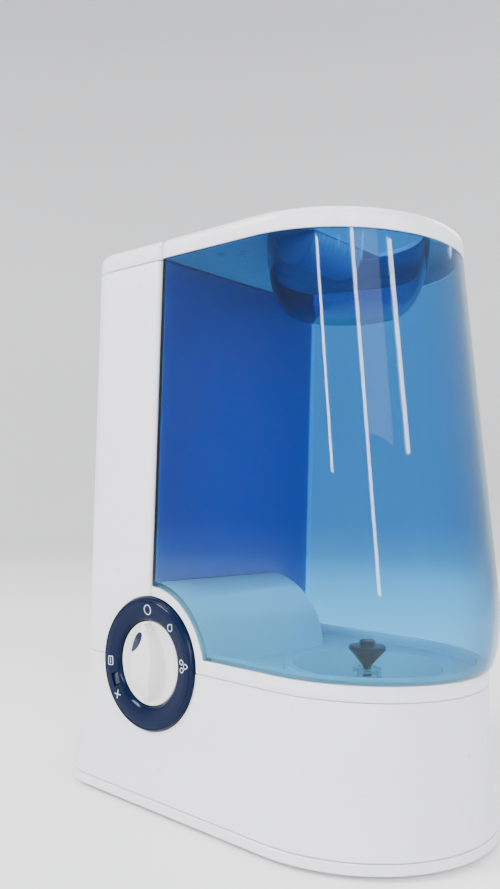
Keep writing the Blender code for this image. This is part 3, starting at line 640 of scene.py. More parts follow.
def base_shell(wall, edge):
    """The flared lower housing, open below, with its wells and screw posts."""
    heights = [HOUSING_LOW + (FLARE_TOP - HOUSING_LOW) * i / 16 for i in range(17)]
    inner = [(DECK - wall, -3.0), (FLARE_TOP, -3.0), (30.0, flare(30.0) - 3.0), (18.0, flare(18.0) - 3.0),
             (HOUSING_LOW, flare(HOUSING_LOW) - 3.0)]
    outer = [(HOUSING_LOW, flare(HOUSING_LOW) - edge), (HOUSING_LOW + edge, flare(HOUSING_LOW + edge))]
    outer += [(z, flare(z)) for z in heights[1:]]
    outer += [(DECK - edge, 0.0), (DECK - edge * 0.3, -edge * 0.3), (DECK, -edge)]
    made = skin("base_housing", [body_plan(z, grow) for z, grow in inner + outer],
                finish_named("White Moulding"))
    for i, spot in enumerate(SCREWS):
        combine(made, rod(f"post_{i}", spot, POST_R, 6.0, DECK - 1.2, steps=32), "UNION")
        combine(made, rod(f"bore_{i}", spot, POST_BORE_R, 4.0, 20.0, steps=24))
    combine(made, rod("well_space", NECK, WELL_R + 2.3, DECK - 8.0, DECK + 6.0))
    combine(made, rod("drum_space", (DIAL_X, DIAL_Z), RING_R + 0.4, -90.0, DRUM_BACK + 2.0, "Y", 144))
    combine(made, block("switch_bay", (-66.0, -50.0, DECK - 8.0), (-26.0, -22.0, DECK + 5.0)))
    combine(made, rod("chamber_space", DUCT, CHAMBER_R + 0.6, DECK - 8.0, DECK + 6.0))
    return combine(made, rod("gland_space", GLAND, 6.3, 60.0, 90.0, "Y"))


class HUMIDIFIER_OT_base(bpy.types.Operator):
    """Builds the flared housing, the bottom plate and the rubber feet"""

    bl_idname = "humidifier.base"
    bl_label = "Base"

    def execute(self, context):
        sizes = context.scene.humidifier_sizes
        wall, edge = sizes.wall / MM, sizes.edge / MM
        settle(base_shell(wall, edge), "root", "white_plastic", "lower_housing")
        profile = [(PLATE_LOW, FOOT_OUT - 1.6), (PLATE_LOW + 0.3, FOOT_OUT - 0.8),
                   (PLATE_LOW + 1.0, FOOT_OUT), (PLATE_TOP - 0.5, FOOT_OUT),
                   (PLATE_TOP, FOOT_OUT - 0.4), (PLATE_TOP, FOOT_OUT - 3.0),
                   (PLATE_LOW + wall, FOOT_OUT - 3.0)]
        plate = skin("base_plate", [body_plan(z, grow) for z, grow in profile],
                     finish_named("White Moulding"))
        for i, spot in enumerate(SCREWS):
            combine(plate, rod(f"head_space_{i}", spot, 3.4, 0.0, 6.0, steps=48))
        settle(plate, "root", "white_plastic", "bottom_plate")
        for i, spot in enumerate(FEET, 1):
            foot = rounded([(0.5, 0.35), (6.0, 0.35), (6.4, 0.0), (7.6, 0.0), (8.0, 0.6), (8.0, 1.7)], 0.3)
            pad = turned(f"foot_pad_{i}", spot, foot, finish_named("Foot Rubber"), steps=64)
            settle(pad, "root", "soft_rubber", f"rubber_foot_{i}")
        return {"FINISHED"}


class HUMIDIFIER_OT_tray(bpy.types.Operator):
    """Builds the water tray with its band, its arch over the dial and its well"""

    bl_idname = "humidifier.tray"
    bl_label = "Water tray"

    def execute(self, context):
        edge = context.scene.humidifier_sizes.edge / MM
        low, floor_z = DECK + GAP, DECK + 2.3

        def tray_plan(z, inset):
            return plan(TANK_LEFT + inset, HALF_WIDTH - inset, HALF_DEPTH - inset, 3.0, z)

        profile = [(low, edge), (low + edge * 0.3, edge * 0.3), (low + edge, 0.0), (BAND_TOP - edge, 0.0),
                   (BAND_TOP - edge * 0.3, edge * 0.3), (BAND_TOP, edge), (BAND_TOP, RIM - edge),
                   (BAND_TOP - edge, RIM), (floor_z, RIM)]
        tray = skin("tray_basin", [tray_plan(z, inset) for z, inset in profile],
                    finish_named("White Moulding"))
        combine(tray, arch_block("arch_body", ARCH_R, FACE_Y, 0.0, low + 0.5, TANK_LEFT), "UNION")
        combine(tray, arch_block("arch_space", RING_R + 0.8, FACE_Y - 10.0, -5.5, DECK - 12.0,
                                 TANK_LEFT - 8.0))
        combine(tray, rod("well_body", NECK, WELL_R + 1.7, WELL_FLOOR, floor_z - 0.5), "UNION")
        combine(tray, rod("well_space", NECK, WELL_R, WELL_FLOOR + 2.0, 100.0))
        angles = [2 * pi * i / 32 for i in range(32)]
        bore, height = 3.2, 66.0
        feed = skin("feed_space", [[(x, bore * cos(a), height + bore * sin(a)) for a in angles]
                                   for x in (0.0, 14.0)])
        combine(tray, feed)
        settle(tray, "root", "white_plastic", "water_tray")
        return {"FINISHED"}


# Tower --------------------------------------------------------------------------------------

class HUMIDIFIER_OT_tower(bpy.types.Operator):
    """Builds the tower's shell and its top cap"""

    bl_idname = "humidifier.tower"
    bl_label = "Tower"

    def execute(self, context):
        sizes = context.scene.humidifier_sizes
        wall, edge = sizes.wall / MM, sizes.edge / MM
        white = finish_named("White Moulding")
        profile = [(SHELL_LOW + edge, 0.0)] + [(SHELL_LOW + (TOWER_TOP - SHELL_LOW) * i / 12, 0.0)
                                               for i in range(1, 12)]
        profile += [(TOWER_TOP - edge, 0.0), (TOWER_TOP - edge * 0.3, edge * 0.3), (TOWER_TOP, edge),
                    (TOWER_TOP, wall), (SHELL_LOW, wall), (SHELL_LOW, edge),
                    (SHELL_LOW + edge * 0.3, edge * 0.3)]
        shell = skin("tower_wall", [tower_plan(z, inset) for z, inset in profile], white, ring=True)
        combine(shell, rod("drum_space", (DIAL_X, DIAL_Z), RING_R + 0.5, -90.0, -24.0, "Y", 144))
        settle(shell, "tower", "white_plastic", "tower_shell")
        settle(cap_body(white, wall, edge), "tower", "white_plastic", "tower_cap")
        return {"FINISHED"}


def crown(low, edge):
    """Height and inset of a cover's outside, with the soft edge round its top."""
    start = HEIGHT - EDGE_FALL
    rows = [(low, edge), (low + edge * 0.3, edge * 0.3), (low + edge, 0.0), (start, 0.0)]
    for i in range(1, 9):
        a = pi / 2 * i / 8
        rows.append((start + EDGE_FALL * sin(a), EDGE_INSET * (1.0 - cos(a))))
    return rows


def cap_body(white, wall, edge):
    profile = [(HEIGHT - wall, wall), (COVER_LOW, wall)] + crown(COVER_LOW, edge)
    cap = skin("tower_lid", [tower_plan(z, inset) for z, inset in profile], white)
    combine(cap, rod("outlet_space", DUCT, 20.4, 300.0, 330.0))
    combine(cap, rod("cup_seat", CUP, FLANGE_R - 2.2, 300.0, 330.0))
    return combine(cap, rod("cup_ledge", CUP, FLANGE_R + 0.4, HEIGHT - 1.7, 330.0))


# Tank ---------------------------------------------------------------------------------------

def tank_body(blue, wall):
    """The clear tank: one closed wall, its nest in the tray, the arch over the dial and the neck."""
    low, high, step = DECK + 2.6, TANK_TOP, BAND_TOP + GAP
    curve = [step + (BULGE_Z - step) * (1 - cos(pi / 2 * i / 14)) for i in range(15)]
    rising = curve + [BULGE_Z + (high - BULGE_Z) * i / 10 for i in range(1, 11)]
    loops = [nest_plan(low, NEST), nest_plan(step, NEST)]
    loops += [tank_plan(z) for z in rising]
    loops += [tank_plan(z, wall) for z in reversed([z for z in rising if z > step + 1.5])]
    loops += [nest_plan(step + 2.7, NEST + 2.0), nest_plan(low + 2.2, NEST + 2.0)]
    tank = skin("tank_wall", loops, blue)
    arch = arch_block("arch_body", ARCH_R + 3.0, FACE_Y - GAP, 3.0, low + 0.5, TANK_LEFT + 0.5)
    combine(tank, arch, "UNION")
    combine(tank, arch_block("arch_space", ARCH_R + 0.6, FACE_Y - 12.0, 0.6, DECK - 12.0, TANK_LEFT - 12.0))
    bottom, top, gap = DECK - 10.0, BAND_TOP + 0.25, RIM + 0.4
    outer = [plan(TANK_LEFT - 5.0, HALF_WIDTH + 5.0, HALF_DEPTH + 5.0, 3.0, z) for z in (bottom, top)]
    inner = [plan(TANK_LEFT + gap, HALF_WIDTH - gap, HALF_DEPTH - gap, 2.0, z) for z in (top, bottom)]
    combine(tank, skin("rim_space", outer + inner, ring=True))
    neck = [(43.0, 68.0), (43.0, low + 0.8), (44.3, low + 0.8), (44.7, low + 1.2), (44.7, 84.2),
            (44.3, 84.6), (40.5, 84.6)]
    combine(tank, turned("neck_body", NECK, neck), "UNION")
    combine(tank, rod("neck_space", NECK, 40.0, 60.0, 100.0))
    # The foot's inner faces take the paler copy of the tank plastic: painted light.
    tank.data.materials.append(finish_named("Tank Foot Painted Light"))
    for face in tank.data.polygons:
        x, y, z = face.center / MM
        right, depth = tank_station(max(z, step))
        inside = depth - (hypot(x - right + depth, y) if x > right - depth else abs(y))
        if z < BULGE_Z + 12.0 and inside > wall + 0.8 and x > TANK_LEFT + wall + 0.5:
            face.material_index = 1
    return tank


class HUMIDIFIER_OT_tank(bpy.types.Operator):
    """Builds the clear water tank"""

    bl_idname = "humidifier.tank"
    bl_label = "Water tank"

    def execute(self, context):
        wall = context.scene.humidifier_sizes.wall / MM
        settle(tank_body(finish_named("Tank Moulding"), wall), "tank", "blue_clear_plastic", "tank_shell")
        return {"FINISHED"}


def cover_body(white, wall, edge):
    def cover_plan(z, inset):
        return plan(TANK_LEFT + inset, TOP_X - inset, BULGE_DEPTH - inset, max(3.0 - inset, 0.6), z)

    profile = [(HEIGHT - wall, wall), (COVER_LOW, wall)] + crown(COVER_LOW, edge)
    cover = skin("tank_lid", [cover_plan(z, inset) for z, inset in profile], white)
    lip = 3.0
    hole = skin("finger_space", [oval(BOWL, BOWL_HALF[0] - lip, BOWL_HALF[1] - lip, z)
                                 for z in (300.0, 330.0)])
    combine(hole, block("keep_left", (-30.0, -80.0, 290.0), (GRIP_X[1], 60.0, 340.0)))
    return combine(cover, hole)


def bowl_body(blue):
    top = BOWL_Z[1]
    steps = 18
    outer, inner = [], []
    for i in range(steps + 1):
        a = radians(16.0) + (pi / 2 - radians(16.0)) * i / steps
        z = BOWL_Z[0] + (top - BOWL_Z[0]) * (1 - cos(a))
        share = 0.48 + 0.52 * sin(a) ** 0.7
        outer.append(oval(BOWL, BOWL_HALF[0] * share, BOWL_HALF[1] * share, min(z, top)))
        inner.append(oval(BOWL, BOWL_HALF[0] * share - 2.0, BOWL_HALF[1] * share - 2.0,
                          min(z + 2.0 * (1 - i / steps), top)))
    return skin("finger_bowl", outer + inner[::-1], blue)


def finished(tree, start, spread, end):
    """Ends a geometry node tree: real meshes with the finish on them."""
    real = tree.nodes.new("GeometryNodeRealizeInstances")
    dress = tree.nodes.new("GeometryNodeSetMaterial")
    join(tree, (spread, "Instances", real, "Geometry"), (real, "Geometry", dress, "Geometry"),
         (start, "Finish", dress, "Material"), (dress, "Geometry", end, "Mesh"))
    return tree


def rib_tree():
    """A row of half-round ribs across a bar, as a geometry node tree."""
    tree, start, end = new_tree(
        "Grip Ribs", "GeometryNodeTree",
        [("Count", "NodeSocketInt", 12), ("First", "NodeSocketVector"),
         ("Step", "NodeSocketVector", (0.0, 0.004, 0.0)), ("Radius", "NodeSocketFloat", 0.0145),
         ("Thickness", "NodeSocketFloat", 0.0008), ("Finish", "NodeSocketMaterial")],
        [("Mesh", "NodeSocketGeometry")])
    row = tree.nodes.new("GeometryNodeMeshLine")
    arc = add_node(tree, "GeometryNodeCurveArc", {"Resolution": 33, "Start Angle": pi, "Sweep Angle": pi})
    wire = add_node(tree, "GeometryNodeCurvePrimitiveCircle", {"Resolution": 10})
    body = add_node(tree, "GeometryNodeCurveToMesh", {"Fill Caps": True})
    stand = add_node(tree, "GeometryNodeTransform", {"Rotation": (pi / 2, 0.0, 0.0)})
    spread = tree.nodes.new("GeometryNodeInstanceOnPoints")
    join(tree, (start, "Count", row, "Count"), (start, "First", row, "Start Location"),
         (start, "Step", row, "Offset"), (start, "Radius", arc, "Radius"),
         (start, "Thickness", wire, "Radius"), (arc, "Curve", body, "Curve"),
         (wire, "Curve", body, "Profile Curve"), (body, "Mesh", stand, "Geometry"),
         (row, "Mesh", spread, "Points"), (stand, "Geometry", spread, "Instance"))
    return finished(tree, start, spread, end)


def grown(name, tree, points=(), **values):
    """Runs a geometry node tree with named inputs and keeps the result as a plain mesh."""
    mesh = bpy.data.meshes.new(name)
    mesh.from_pydata([tuple(c * MM for c in p) for p in points], [], [])
    made = bpy.data.objects.new(name, mesh)
    bpy.context.collection.objects.link(made)
    step = made.modifiers.new("Rows", "NODES")
    step.node_group = tree
    sockets = {item.name: item.identifier for item in tree.interface.items_tree if item.in_out == "INPUT"}
    for label, value in values.items():
        step[sockets[label.replace("_", " ")]] = value
    apply_all(made)
    if not made.data.polygons:
        raise RuntimeError(f"{name} came out empty")
    made.data.shade_smooth()
    made.data.set_sharp_from_angle(angle=radians(38.0))
    return made


class HUMIDIFIER_OT_tank_top(bpy.types.Operator):
    """Builds the tank's cover, its finger bowl and the ribbed grip"""

    bl_idname = "humidifier.tank_top"
    bl_label = "Tank cover and grip"

    def execute(self, context):
        sizes = context.scene.humidifier_sizes
        wall, edge = sizes.wall / MM, sizes.edge / MM
        white, blue = finish_named("White Moulding"), finish_named("Tank Moulding")
        settle(cover_body(white, wall, edge), "tank", "white_plastic", "tank_cover")
        settle(bowl_body(blue), "tank", "blue_clear_plastic", "handle_well")
        middle, half = (GRIP_X[0] + GRIP_X[1]) / 2, (GRIP_X[1] - GRIP_X[0]) / 2
        top, rise = GRIP_Z[1], sizes.rib_height / MM
        deep = GRIP_Z[1] - GRIP_Z[0] - rise
        inset = half - rise
        rows = []
        for i in range(25):
            y = GRIP_Y[0] + (GRIP_Y[1] - GRIP_Y[0]) * i / 24
            rows.append([(middle + inset * cos(a), y, top - deep * sin(a)) for a in
                         (pi * k / 32 for k in range(33))])
        bar = skin("grip_bar", rows, white)
        settle(bar, "tank", "white_plastic", "handle_grip")
        pitch = sizes.rib_pitch
        count = int((GRIP_Y[1] - GRIP_Y[0]) * MM / pitch)
        first = (middle * MM, (GRIP_Y[0] + GRIP_Y[1]) / 2 * MM - pitch * (count - 1) / 2, top * MM)
        ribs = grown("grip_ribs", rib_tree(), Count=count, First=first, Step=(0.0, pitch, 0.0),
                     Radius=inset * MM, Thickness=sizes.rib_height, Finish=white)
        settle(ribs, "tank", "white_plastic")
        return {"FINISHED"}


# Tower top ----------------------------------------------------------------------------------

def slat_tree():
    """Parallel slats that fill a round opening, each cut to the opening's width."""
    tree, start, end = new_tree(
        "Outlet Slats", "GeometryNodeTree",
        [("Count", "NodeSocketInt", 6), ("First", "NodeSocketVector"),
         ("Step", "NodeSocketVector", (0.0, 0.005, 0.0)), ("Centre", "NodeSocketVector"),
         ("Reach", "NodeSocketFloat", 0.018), ("Size", "NodeSocketVector", (1.0, 0.0018, 0.0035)),
         ("Finish", "NodeSocketMaterial")],
        [("Mesh", "NodeSocketGeometry")])
    row = tree.nodes.new("GeometryNodeMeshLine")
    slat = tree.nodes.new("GeometryNodeMeshCube")
    place = tree.nodes.new("GeometryNodeInputPosition")
    away = add_node(tree, "ShaderNodeVectorMath", operation="DISTANCE")
    square = add_node(tree, "ShaderNodeMath", {1: 2.0}, operation="POWER")
    whole = add_node(tree, "ShaderNodeMath", {1: 2.0}, operation="POWER")
    rest = add_node(tree, "ShaderNodeMath", operation="SUBTRACT")
    root = add_node(tree, "ShaderNodeMath", operation="SQRT")
    double = add_node(tree, "ShaderNodeMath", {1: 2.0}, operation="MULTIPLY")
    size = add_node(tree, "ShaderNodeCombineXYZ", {"Y": 1.0, "Z": 1.0})
    spread = tree.nodes.new("GeometryNodeInstanceOnPoints")
    join(tree, (start, "Count", row, "Count"), (start, "First", row, "Start Location"),
         (start, "Step", row, "Offset"), (start, "Size", slat, "Size"), (place, "Position", away, 0),
         (start, "Centre", away, 1), (away, "Value", square, 0), (start, "Reach", whole, 0),
         (whole, 0, rest, 0), (square, 0, rest, 1), (rest, 0, root, 0), (root, 0, double, 0),
         (double, 0, size, "X"), (row, "Mesh", spread, "Points"), (slat, "Mesh", spread, "Instance"),
         (size, "Vector", spread, "Scale"))
    return finished(tree, start, spread, end)


class HUMIDIFIER_OT_outlet(bpy.types.Operator):
    """Builds the slatted steam outlet and the medicine cup on the tower"""

    bl_idname = "humidifier.outlet"
    bl_label = "Steam outlet and medicine cup"

    def execute(self, context):
        white = finish_named("White Moulding")
        low, top = span("outlet_grille", 2)
        rim = rounded_ring([(20.0, low), (20.0, top), (16.8, top), (16.8, low)], 0.6)
        settle(turned("outlet_rim", DUCT, rim, white, ring=True), "tower", "white_plastic", "outlet_grille")
        count = context.scene.humidifier_sizes.slot_count - 1
        pitch = 33.6 / (count + 1)
        centre = (DUCT[0] * MM, DUCT[1] * MM, (top - 1.9) * MM)
        first = (centre[0], centre[1] - pitch * (count - 1) / 2 * MM, centre[2])
        slats = grown("outlet_slats", slat_tree(), Count=count, First=first, Step=(0.0, pitch * MM, 0.0),
                      Centre=centre, Reach=0.0172, Size=(1.0, 0.0019, 0.0034), Finish=white)
        settle(slats, "tower", "white_plastic")
        under, crest = HEIGHT - 1.4, HEIGHT - 0.4
        cup = [(0.05, 306.0), (11.5, 306.0), (14.5, 308.0), (FLANGE_R - 2.8, 313.0), (FLANGE_R - 2.8, under),
               (FLANGE_R, under), (FLANGE_R, crest), (14.0, crest), (13.8, 313.0), (12.8, 309.0),
               (10.5, 307.8), (0.05, 307.8)]
        settle(turned("inhalant_cup", CUP, rounded(cup, 0.4), white), "cup", "white_plastic", "medicine_cup")
        return {"FINISHED"}


# Filler -------------------------------------------------------------------------------------

class HUMIDIFIER_OT_filler(bpy.types.Operator):
    """Builds the screw cap under the tank with its sleeve, and the valve in it"""

    bl_idname = "humidifier.filler"
    bl_label = "Filler cap and valve"

    def execute(self, context):
        white = finish_named("White Moulding")
        cap = [(5.2, 64.6), (43.0, 64.6), (45.4, 65.8), (45.4, 77.4), (43.4, 77.4), (43.4, 67.0),
               (5.2, 67.0)]
        body = turned("screw_cap", NECK, rounded_ring(cap, 0.5), white, ring=True)
        for i in range(2):
            spot = (NECK[0], NECK[1] + 26.0 * (1 - 2 * i))
            combine(body, rod(f"finger_{i}", spot, 4.0, 60.0, 65.6, steps=32))
        settle(body, "filler_cap", "white_plastic", "tank_cap")
        sleeve = [(5.2, 67.3), (7.6, 67.3), (7.6, 82.8), (3.9, 82.8), (3.9, 81.8), (5.2, 81.8)]
        guide = turned("valve_guide", NECK, rounded_ring(sleeve, 0.2), finish_named("Clear Moulding"),
                       ring=True, steps=64)
        settle(guide, "filler_cap", "clear_plastic", "valve_sleeve")
        stem = [(0.05, 66.0), (2.2, 66.0), (2.2, 69.5), (4.6, 69.5), (4.6, 70.9), (2.2, 70.9), (2.2, 84.5),
                (2.8, 84.5), (9.6, 92.2), (10.0, 92.6), (10.0, 94.0), (9.4, 94.6), (4.4, 94.8), (4.2, 95.2),
                (4.2, 97.0), (3.4, 97.6), (0.05, 97.6)]
        settle(turned("valve_cone", NECK, rounded(stem, 0.25), finish_named("Valve Moulding"), steps=72),
               "valve", "dark_plastic", "valve_plunger")
        return {"FINISHED"}


# Dial ---------------------------------------------------------------------------------------

RING_PROFILE = [(KNOB_R + 0.5, FACE_Y - GAP), (KNOB_R + 2.0, RING_FRONT + 0.9), (RING_R - 5.5, RING_FRONT),
                (RING_R - 2.4, RING_FRONT), (RING_R - 1.8, RING_FRONT + 0.5), (RING_R - 1.0, RING_FRONT),
                (RING_R, RING_FRONT + 1.2)]


def ring_face(radius):
    """The ring's front at a distance from its axis."""
    for (r0, y0), (r1, y1) in zip(RING_PROFILE, RING_PROFILE[1:]):
        if radius <= r1:
            return y0 + (y1 - y0) * max(radius - r0, 0.0) / (r1 - r0)
    return RING_PROFILE[-1][1]


def on_ring(bearing, middle, across, along, lift):
    """A point on the ring: across and along a spot at a clockwise bearing from the top."""
    turn = radians(bearing)
    right, up = (cos(turn), -sin(turn)), (sin(turn), cos(turn))
    x = right[0] * across + up[0] * (middle + along)
    z = right[1] * across + up[1] * (middle + along)
    return (DIAL_X + x, ring_face(hypot(x, z)) - lift, DIAL_Z + z)


MARK_RISE, MARK_SINK = 0.09, 0.15


def mark_section(bearing, middle, here, ahead, width):
    """The flat four-cornered section of a printed line that runs ahead from a point."""
    ahead = ahead.normalized()
    side = Vector((ahead.y, -ahead.x)) * width / 2
    corners = [(here + side, MARK_RISE), (here - side, MARK_RISE), (here - side, -MARK_SINK),
               (here + side, -MARK_SINK)]
    return [on_ring(bearing, middle, p.x, p.y, lift) for p, lift in corners]


def mark_loop(name, bearing, middle, outline, width, finish):
    """A printed outline: each point of a closed shape gives a flat piece of the line."""
    loops = []
    count = len(outline)
    for i in range(count):
        before, here, after = (Vector(outline[j % count]) for j in (i - 1, i, i + 1))
        loops.append(mark_section(bearing, middle, here, after - before, width))
    return skin(name, loops, finish, ring=True)


def mark_line(name, bearing, middle, first, last, width, finish):
    """A straight printed line from one point to another."""
    a, b = Vector(first), Vector(last)
    loops = [mark_section(bearing, middle, a.lerp(b, i / 8), b - a, width) for i in range(9)]
    return skin(name, loops, finish)


def drop_shape(width, height, shift=(0.0, 0.0), steps=28):
    """A falling drop: round below, drawn to a point above."""
    outline = []
    for i in range(steps):
        a = 2 * pi * i / steps
        slim = (1 - max(sin(a), 0.0)) ** 0.55 if sin(a) > 0 else 1.0
        outline.append((shift[0] + width / 2 * cos(a) * slim, shift[1] + height / 2 * sin(a)))
    return outline


class HUMIDIFIER_OT_dial(bpy.types.Operator):
    """Builds the glossy dial ring, its printed signs and its small window"""

    bl_idname = "humidifier.dial"
    bl_label = "Dial ring"

    def execute(self, context):
        centre = (DIAL_X, DIAL_Z)
        back = FACE_Y + 1.2
        profile = rounded([(KNOB_R + 0.5, back), *RING_PROFILE, (RING_R, back)], 0.5, 4)
        ring = turned("dial_bezel", centre, profile, finish_named("Dial Gloss"), "Y", ring=True, steps=192)
        low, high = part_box("light_window")
        middle = KNOB_R + 4.9
        opening = [on_ring(-116.0, middle, u, v, 0.0) for u, v in
                   ((-3.7, -2.7), (3.7, -2.7), (3.7, 2.7), (-3.7, 2.7))]
        cut = skin("window_space", [[(x, y, z) for x, _, z in opening] for y in (-80.0, FACE_Y + 4.0)])
        combine(ring, cut)
        settle(ring, "root", "navy_plastic", "dial_ring")
        pane = [on_ring(-116.0, middle, u, v, 0.0) for u, v in
                rounded_ring([(-3.4, -2.4), (3.4, -2.4), (3.4, 2.4), (-3.4, 2.4)], 0.6, 5)]
        rows = ((high[1] / MM, 0.0), (low[1] / MM + 0.3, 0.0), (low[1] / MM, 0.3))
        heart = Vector((sum(p[0] for p in pane) / len(pane), sum(p[2] for p in pane) / len(pane)))
        loops = []
        for y, inset in rows:
            loops.append([((p[0] - heart.x) * (1 - inset / 3) + heart.x, y,
                           (p[2] - heart.y) * (1 - inset / 3) + heart.y) for p in pane])
        window = skin("window_pane", loops, finish_named("Lens Gloss"))
        settle(window, "root", "dark_plastic", "light_window")
        self.print_signs(finish_named("Dial Print"))
        return {"FINISHED"}

    def print_signs(self, ink):
        high, low, fine = 29.9, 29.2, 0.42
        ring = [(2.65 * cos(2 * pi * i / 40), 2.65 * sin(2 * pi * i / 40)) for i in range(40)]
        signs = [mark_loop("sign_off", 0.0, high, ring, fine, ink),
                 mark_loop("sign_low", 40.0, low, drop_shape(3.7, 4.7), fine, ink)]
        for i, (u, v) in enumerate(((-2.1, -1.2), (2.1, -1.2), (0.0, 2.0))):
            signs.append(mark_loop(f"sign_high_{i + 1}", 84.0, 30.2, drop_shape(2.6, 3.2, (u, v)), fine,
                                   ink))
        tank = [(-2.4, -1.7), (2.4, -1.7), (2.4, 1.7), (-2.4, 1.7)]
        signs.append(mark_loop("sign_tank", -95.0, 30.6, rounded_ring(tank, 0.5, 4), fine, ink))
        signs.append(mark_line("sign_tank_level", -95.0, 30.6, (-1.5, 0.0), (1.5, 0.0), fine, ink))
        signs.append(mark_line("sign_cross_a", -132.0, 31.0, (-1.7, -1.7), (1.7, 1.7), fine, ink))
        signs.append(mark_line("sign_cross_b", -132.0, 31.0, (-1.7, 1.7), (1.7, -1.7), fine, ink))
        for sign in signs:
            settle(sign, "root", "navy_plastic")


# Knob ---------------------------------------------------------------------------------------

BLADE_REACH = KNOB_R - 1.0
BLADE_WIDTH = 9.8
DISH_FACE = FACE_Y + 0.6


def knob_front(x, z):
    """The knob's front: a shallow dish with a broad pointed blade standing across it."""
    radius = hypot(x, z)
    share = radius / KNOB_R
    dish = DISH_FACE + 1.9 * (1 - share * share) - 0.5 * exp(-((share - 0.93) / 0.05) ** 2)
    along = z / BLADE_REACH
    if abs(along) >= 1.0:
        return dish
    half = BLADE_WIDTH * (1 - along * along) ** 0.85
    across = x / max(half, 0.01)
    if abs(across) >= 1.0:
        return dish
    flank = 1 - abs(across)
    steep = 0.12 if x < 0 else 0.26
    rise = min(flank / steep, 1.0)
    rise = rise * rise * (3 - 2 * rise)
    fade = 1.0 if along > -0.35 else max(1 - ((-0.35 - along) / 0.65) ** 2, 0.0)
    hollow = 0.5 * max(1 - (x / 6.0) ** 2, 0.0) * (1 - along * along)
    crest = KNOB_FRONT + 0.05 + hollow + 1.6 * along * along
    return dish + (crest - dish) * rise * fade


class HUMIDIFIER_OT_knob(bpy.types.Operator):
    """Builds the dished control knob with its blade, and the dark lens on it"""

    bl_idname = "humidifier.knob"
    bl_label = "Control knob"

    def execute(self, context):
        rings, steps = 84, 180

        def around(radius, height=None):
            loop = []
            for i in range(steps):
                a = 2 * pi * i / steps
                x, z = radius * cos(a), radius * sin(a)
                loop.append((DIAL_X + x, knob_front(x, z) if height is None else height, DIAL_Z + z))
            return loop

        rim = KNOB_R - 0.7
        loops = [around(0.02)] + [around(rim * (i / rings)) for i in range(1, rings + 1)]
        loops += [around(KNOB_R - 0.3, DISH_FACE - 0.1), around(KNOB_R, DISH_FACE + 0.5),
                  around(KNOB_R, KNOB_BACK - 0.8), around(KNOB_R - 1.5, KNOB_BACK),
                  around(3.3, KNOB_BACK), around(3.3, FACE_Y + 1.0), around(0.02, FACE_Y + 1.0)]
        settle(skin("knob_body", loops, finish_named("Knob Moulding"), sharp=50.0), "knob",
               "white_plastic", "control_knob")
        settle(self.lens(finish_named("Lens Gloss")), "knob", "navy_plastic", "knob_lens")
        return {"FINISHED"}

    def lens(self, gloss):
        """A long dark bead that follows the blade's upper left edge."""
        lean, heart = radians(-36.0), (-5.6, 11.6)
        half_width, half_length = 3.1, 7.0

        def around(share, lift):
            loop = []
            for i in range(48):
                a = 2 * pi * i / 48
                u, v = half_width * share * cos(a), half_length * share * sin(a)
                x = heart[0] + u * cos(lean) - v * sin(lean)
                z = heart[1] + u * sin(lean) + v * cos(lean)
                loop.append((DIAL_X + x, max(knob_front(x, z) - lift, KNOB_FRONT), DIAL_Z + z))
            return loop

        loops = [around(0.01, -0.5), around(1.0, -0.5)]
        loops += [around(cos(pi / 2 * i / 10), 0.9 * sin(pi / 2 * i / 10)) for i in range(10)]
        loops += [around(0.01, 0.9)]
        return skin("knob_bead", loops, gloss, sharp=60.0)


# Fasteners and inner parts ------------------------------------------------------------------

def screw_tree():
    """Cross-recessed pan head screws, one on each point, heads down."""
    tree, start, end = new_tree(
        "Plate Screws", "GeometryNodeTree",
        [("Points", "NodeSocketGeometry"), ("Head Radius", "NodeSocketFloat", 0.0029),
         ("Head Height", "NodeSocketFloat", 0.0024), ("Shank Radius", "NodeSocketFloat", 0.0014),
         ("Shank Length", "NodeSocketFloat", 0.0116), ("Recess", "NodeSocketFloat", 0.0011),
         ("Finish", "NodeSocketMaterial")],
        [("Mesh", "NodeSocketGeometry")])

    def moved(source, height):
        step = add_node(tree, "GeometryNodeTransform", {"Translation": (0.0, 0.0, height)})
        join(tree, (source, "Mesh", step, "Geometry"))
        return step

    head = add_node(tree, "GeometryNodeMeshCylinder", {"Vertices": 40})
    join(tree, (start, "Head Radius", head, "Radius"), (start, "Head Height", head, "Depth"))
    shank = add_node(tree, "GeometryNodeMeshCylinder", {"Vertices": 24})
    join(tree, (start, "Shank Radius", shank, "Radius"), (start, "Shank Length", shank, "Depth"))
    cross = add_node(tree, "GeometryNodeMeshBoolean", operation="DIFFERENCE", solver="EXACT")
    join(tree, (moved(head, 0.0012), "Geometry", cross, "Mesh 1"))
    for across, along in ((0.0034, 0.0007), (0.0007, 0.0034)):
        bar = tree.nodes.new("GeometryNodeMeshCube")
        extent = add_node(tree, "ShaderNodeCombineXYZ", {"X": across, "Y": along})
        join(tree, (start, "Recess", extent, "Z"), (extent, "Vector", bar, "Size"),
             (bar, "Mesh", cross, "Mesh 2"))
    whole = tree.nodes.new("GeometryNodeJoinGeometry")
    join(tree, (cross, "Mesh", whole, "Geometry"), (moved(shank, 0.0082), "Geometry", whole, "Geometry"))
    spread = tree.nodes.new("GeometryNodeInstanceOnPoints")
    join(tree, (start, "Points", spread, "Points"), (whole, "Geometry", spread, "Instance"))
    return finished(tree, start, spread, end)


class HUMIDIFIER_OT_fasteners(bpy.types.Operator):
    """Builds the four cross-recessed screws under the base"""

    bl_idname = "humidifier.fasteners"
    bl_label = "Screws"

    def execute(self, context):
        low = span("plate_screw_1", 2)[0]
        screws = grown("base_screws", screw_tree(), [(x, y, low) for x, y in SCREWS],
                       Finish=finish_named("Drawn Steel"))
        settle(screws, "root", "steel", *[f"plate_screw_{i}" for i in range(1, 5)])
        return {"FINISHED"}


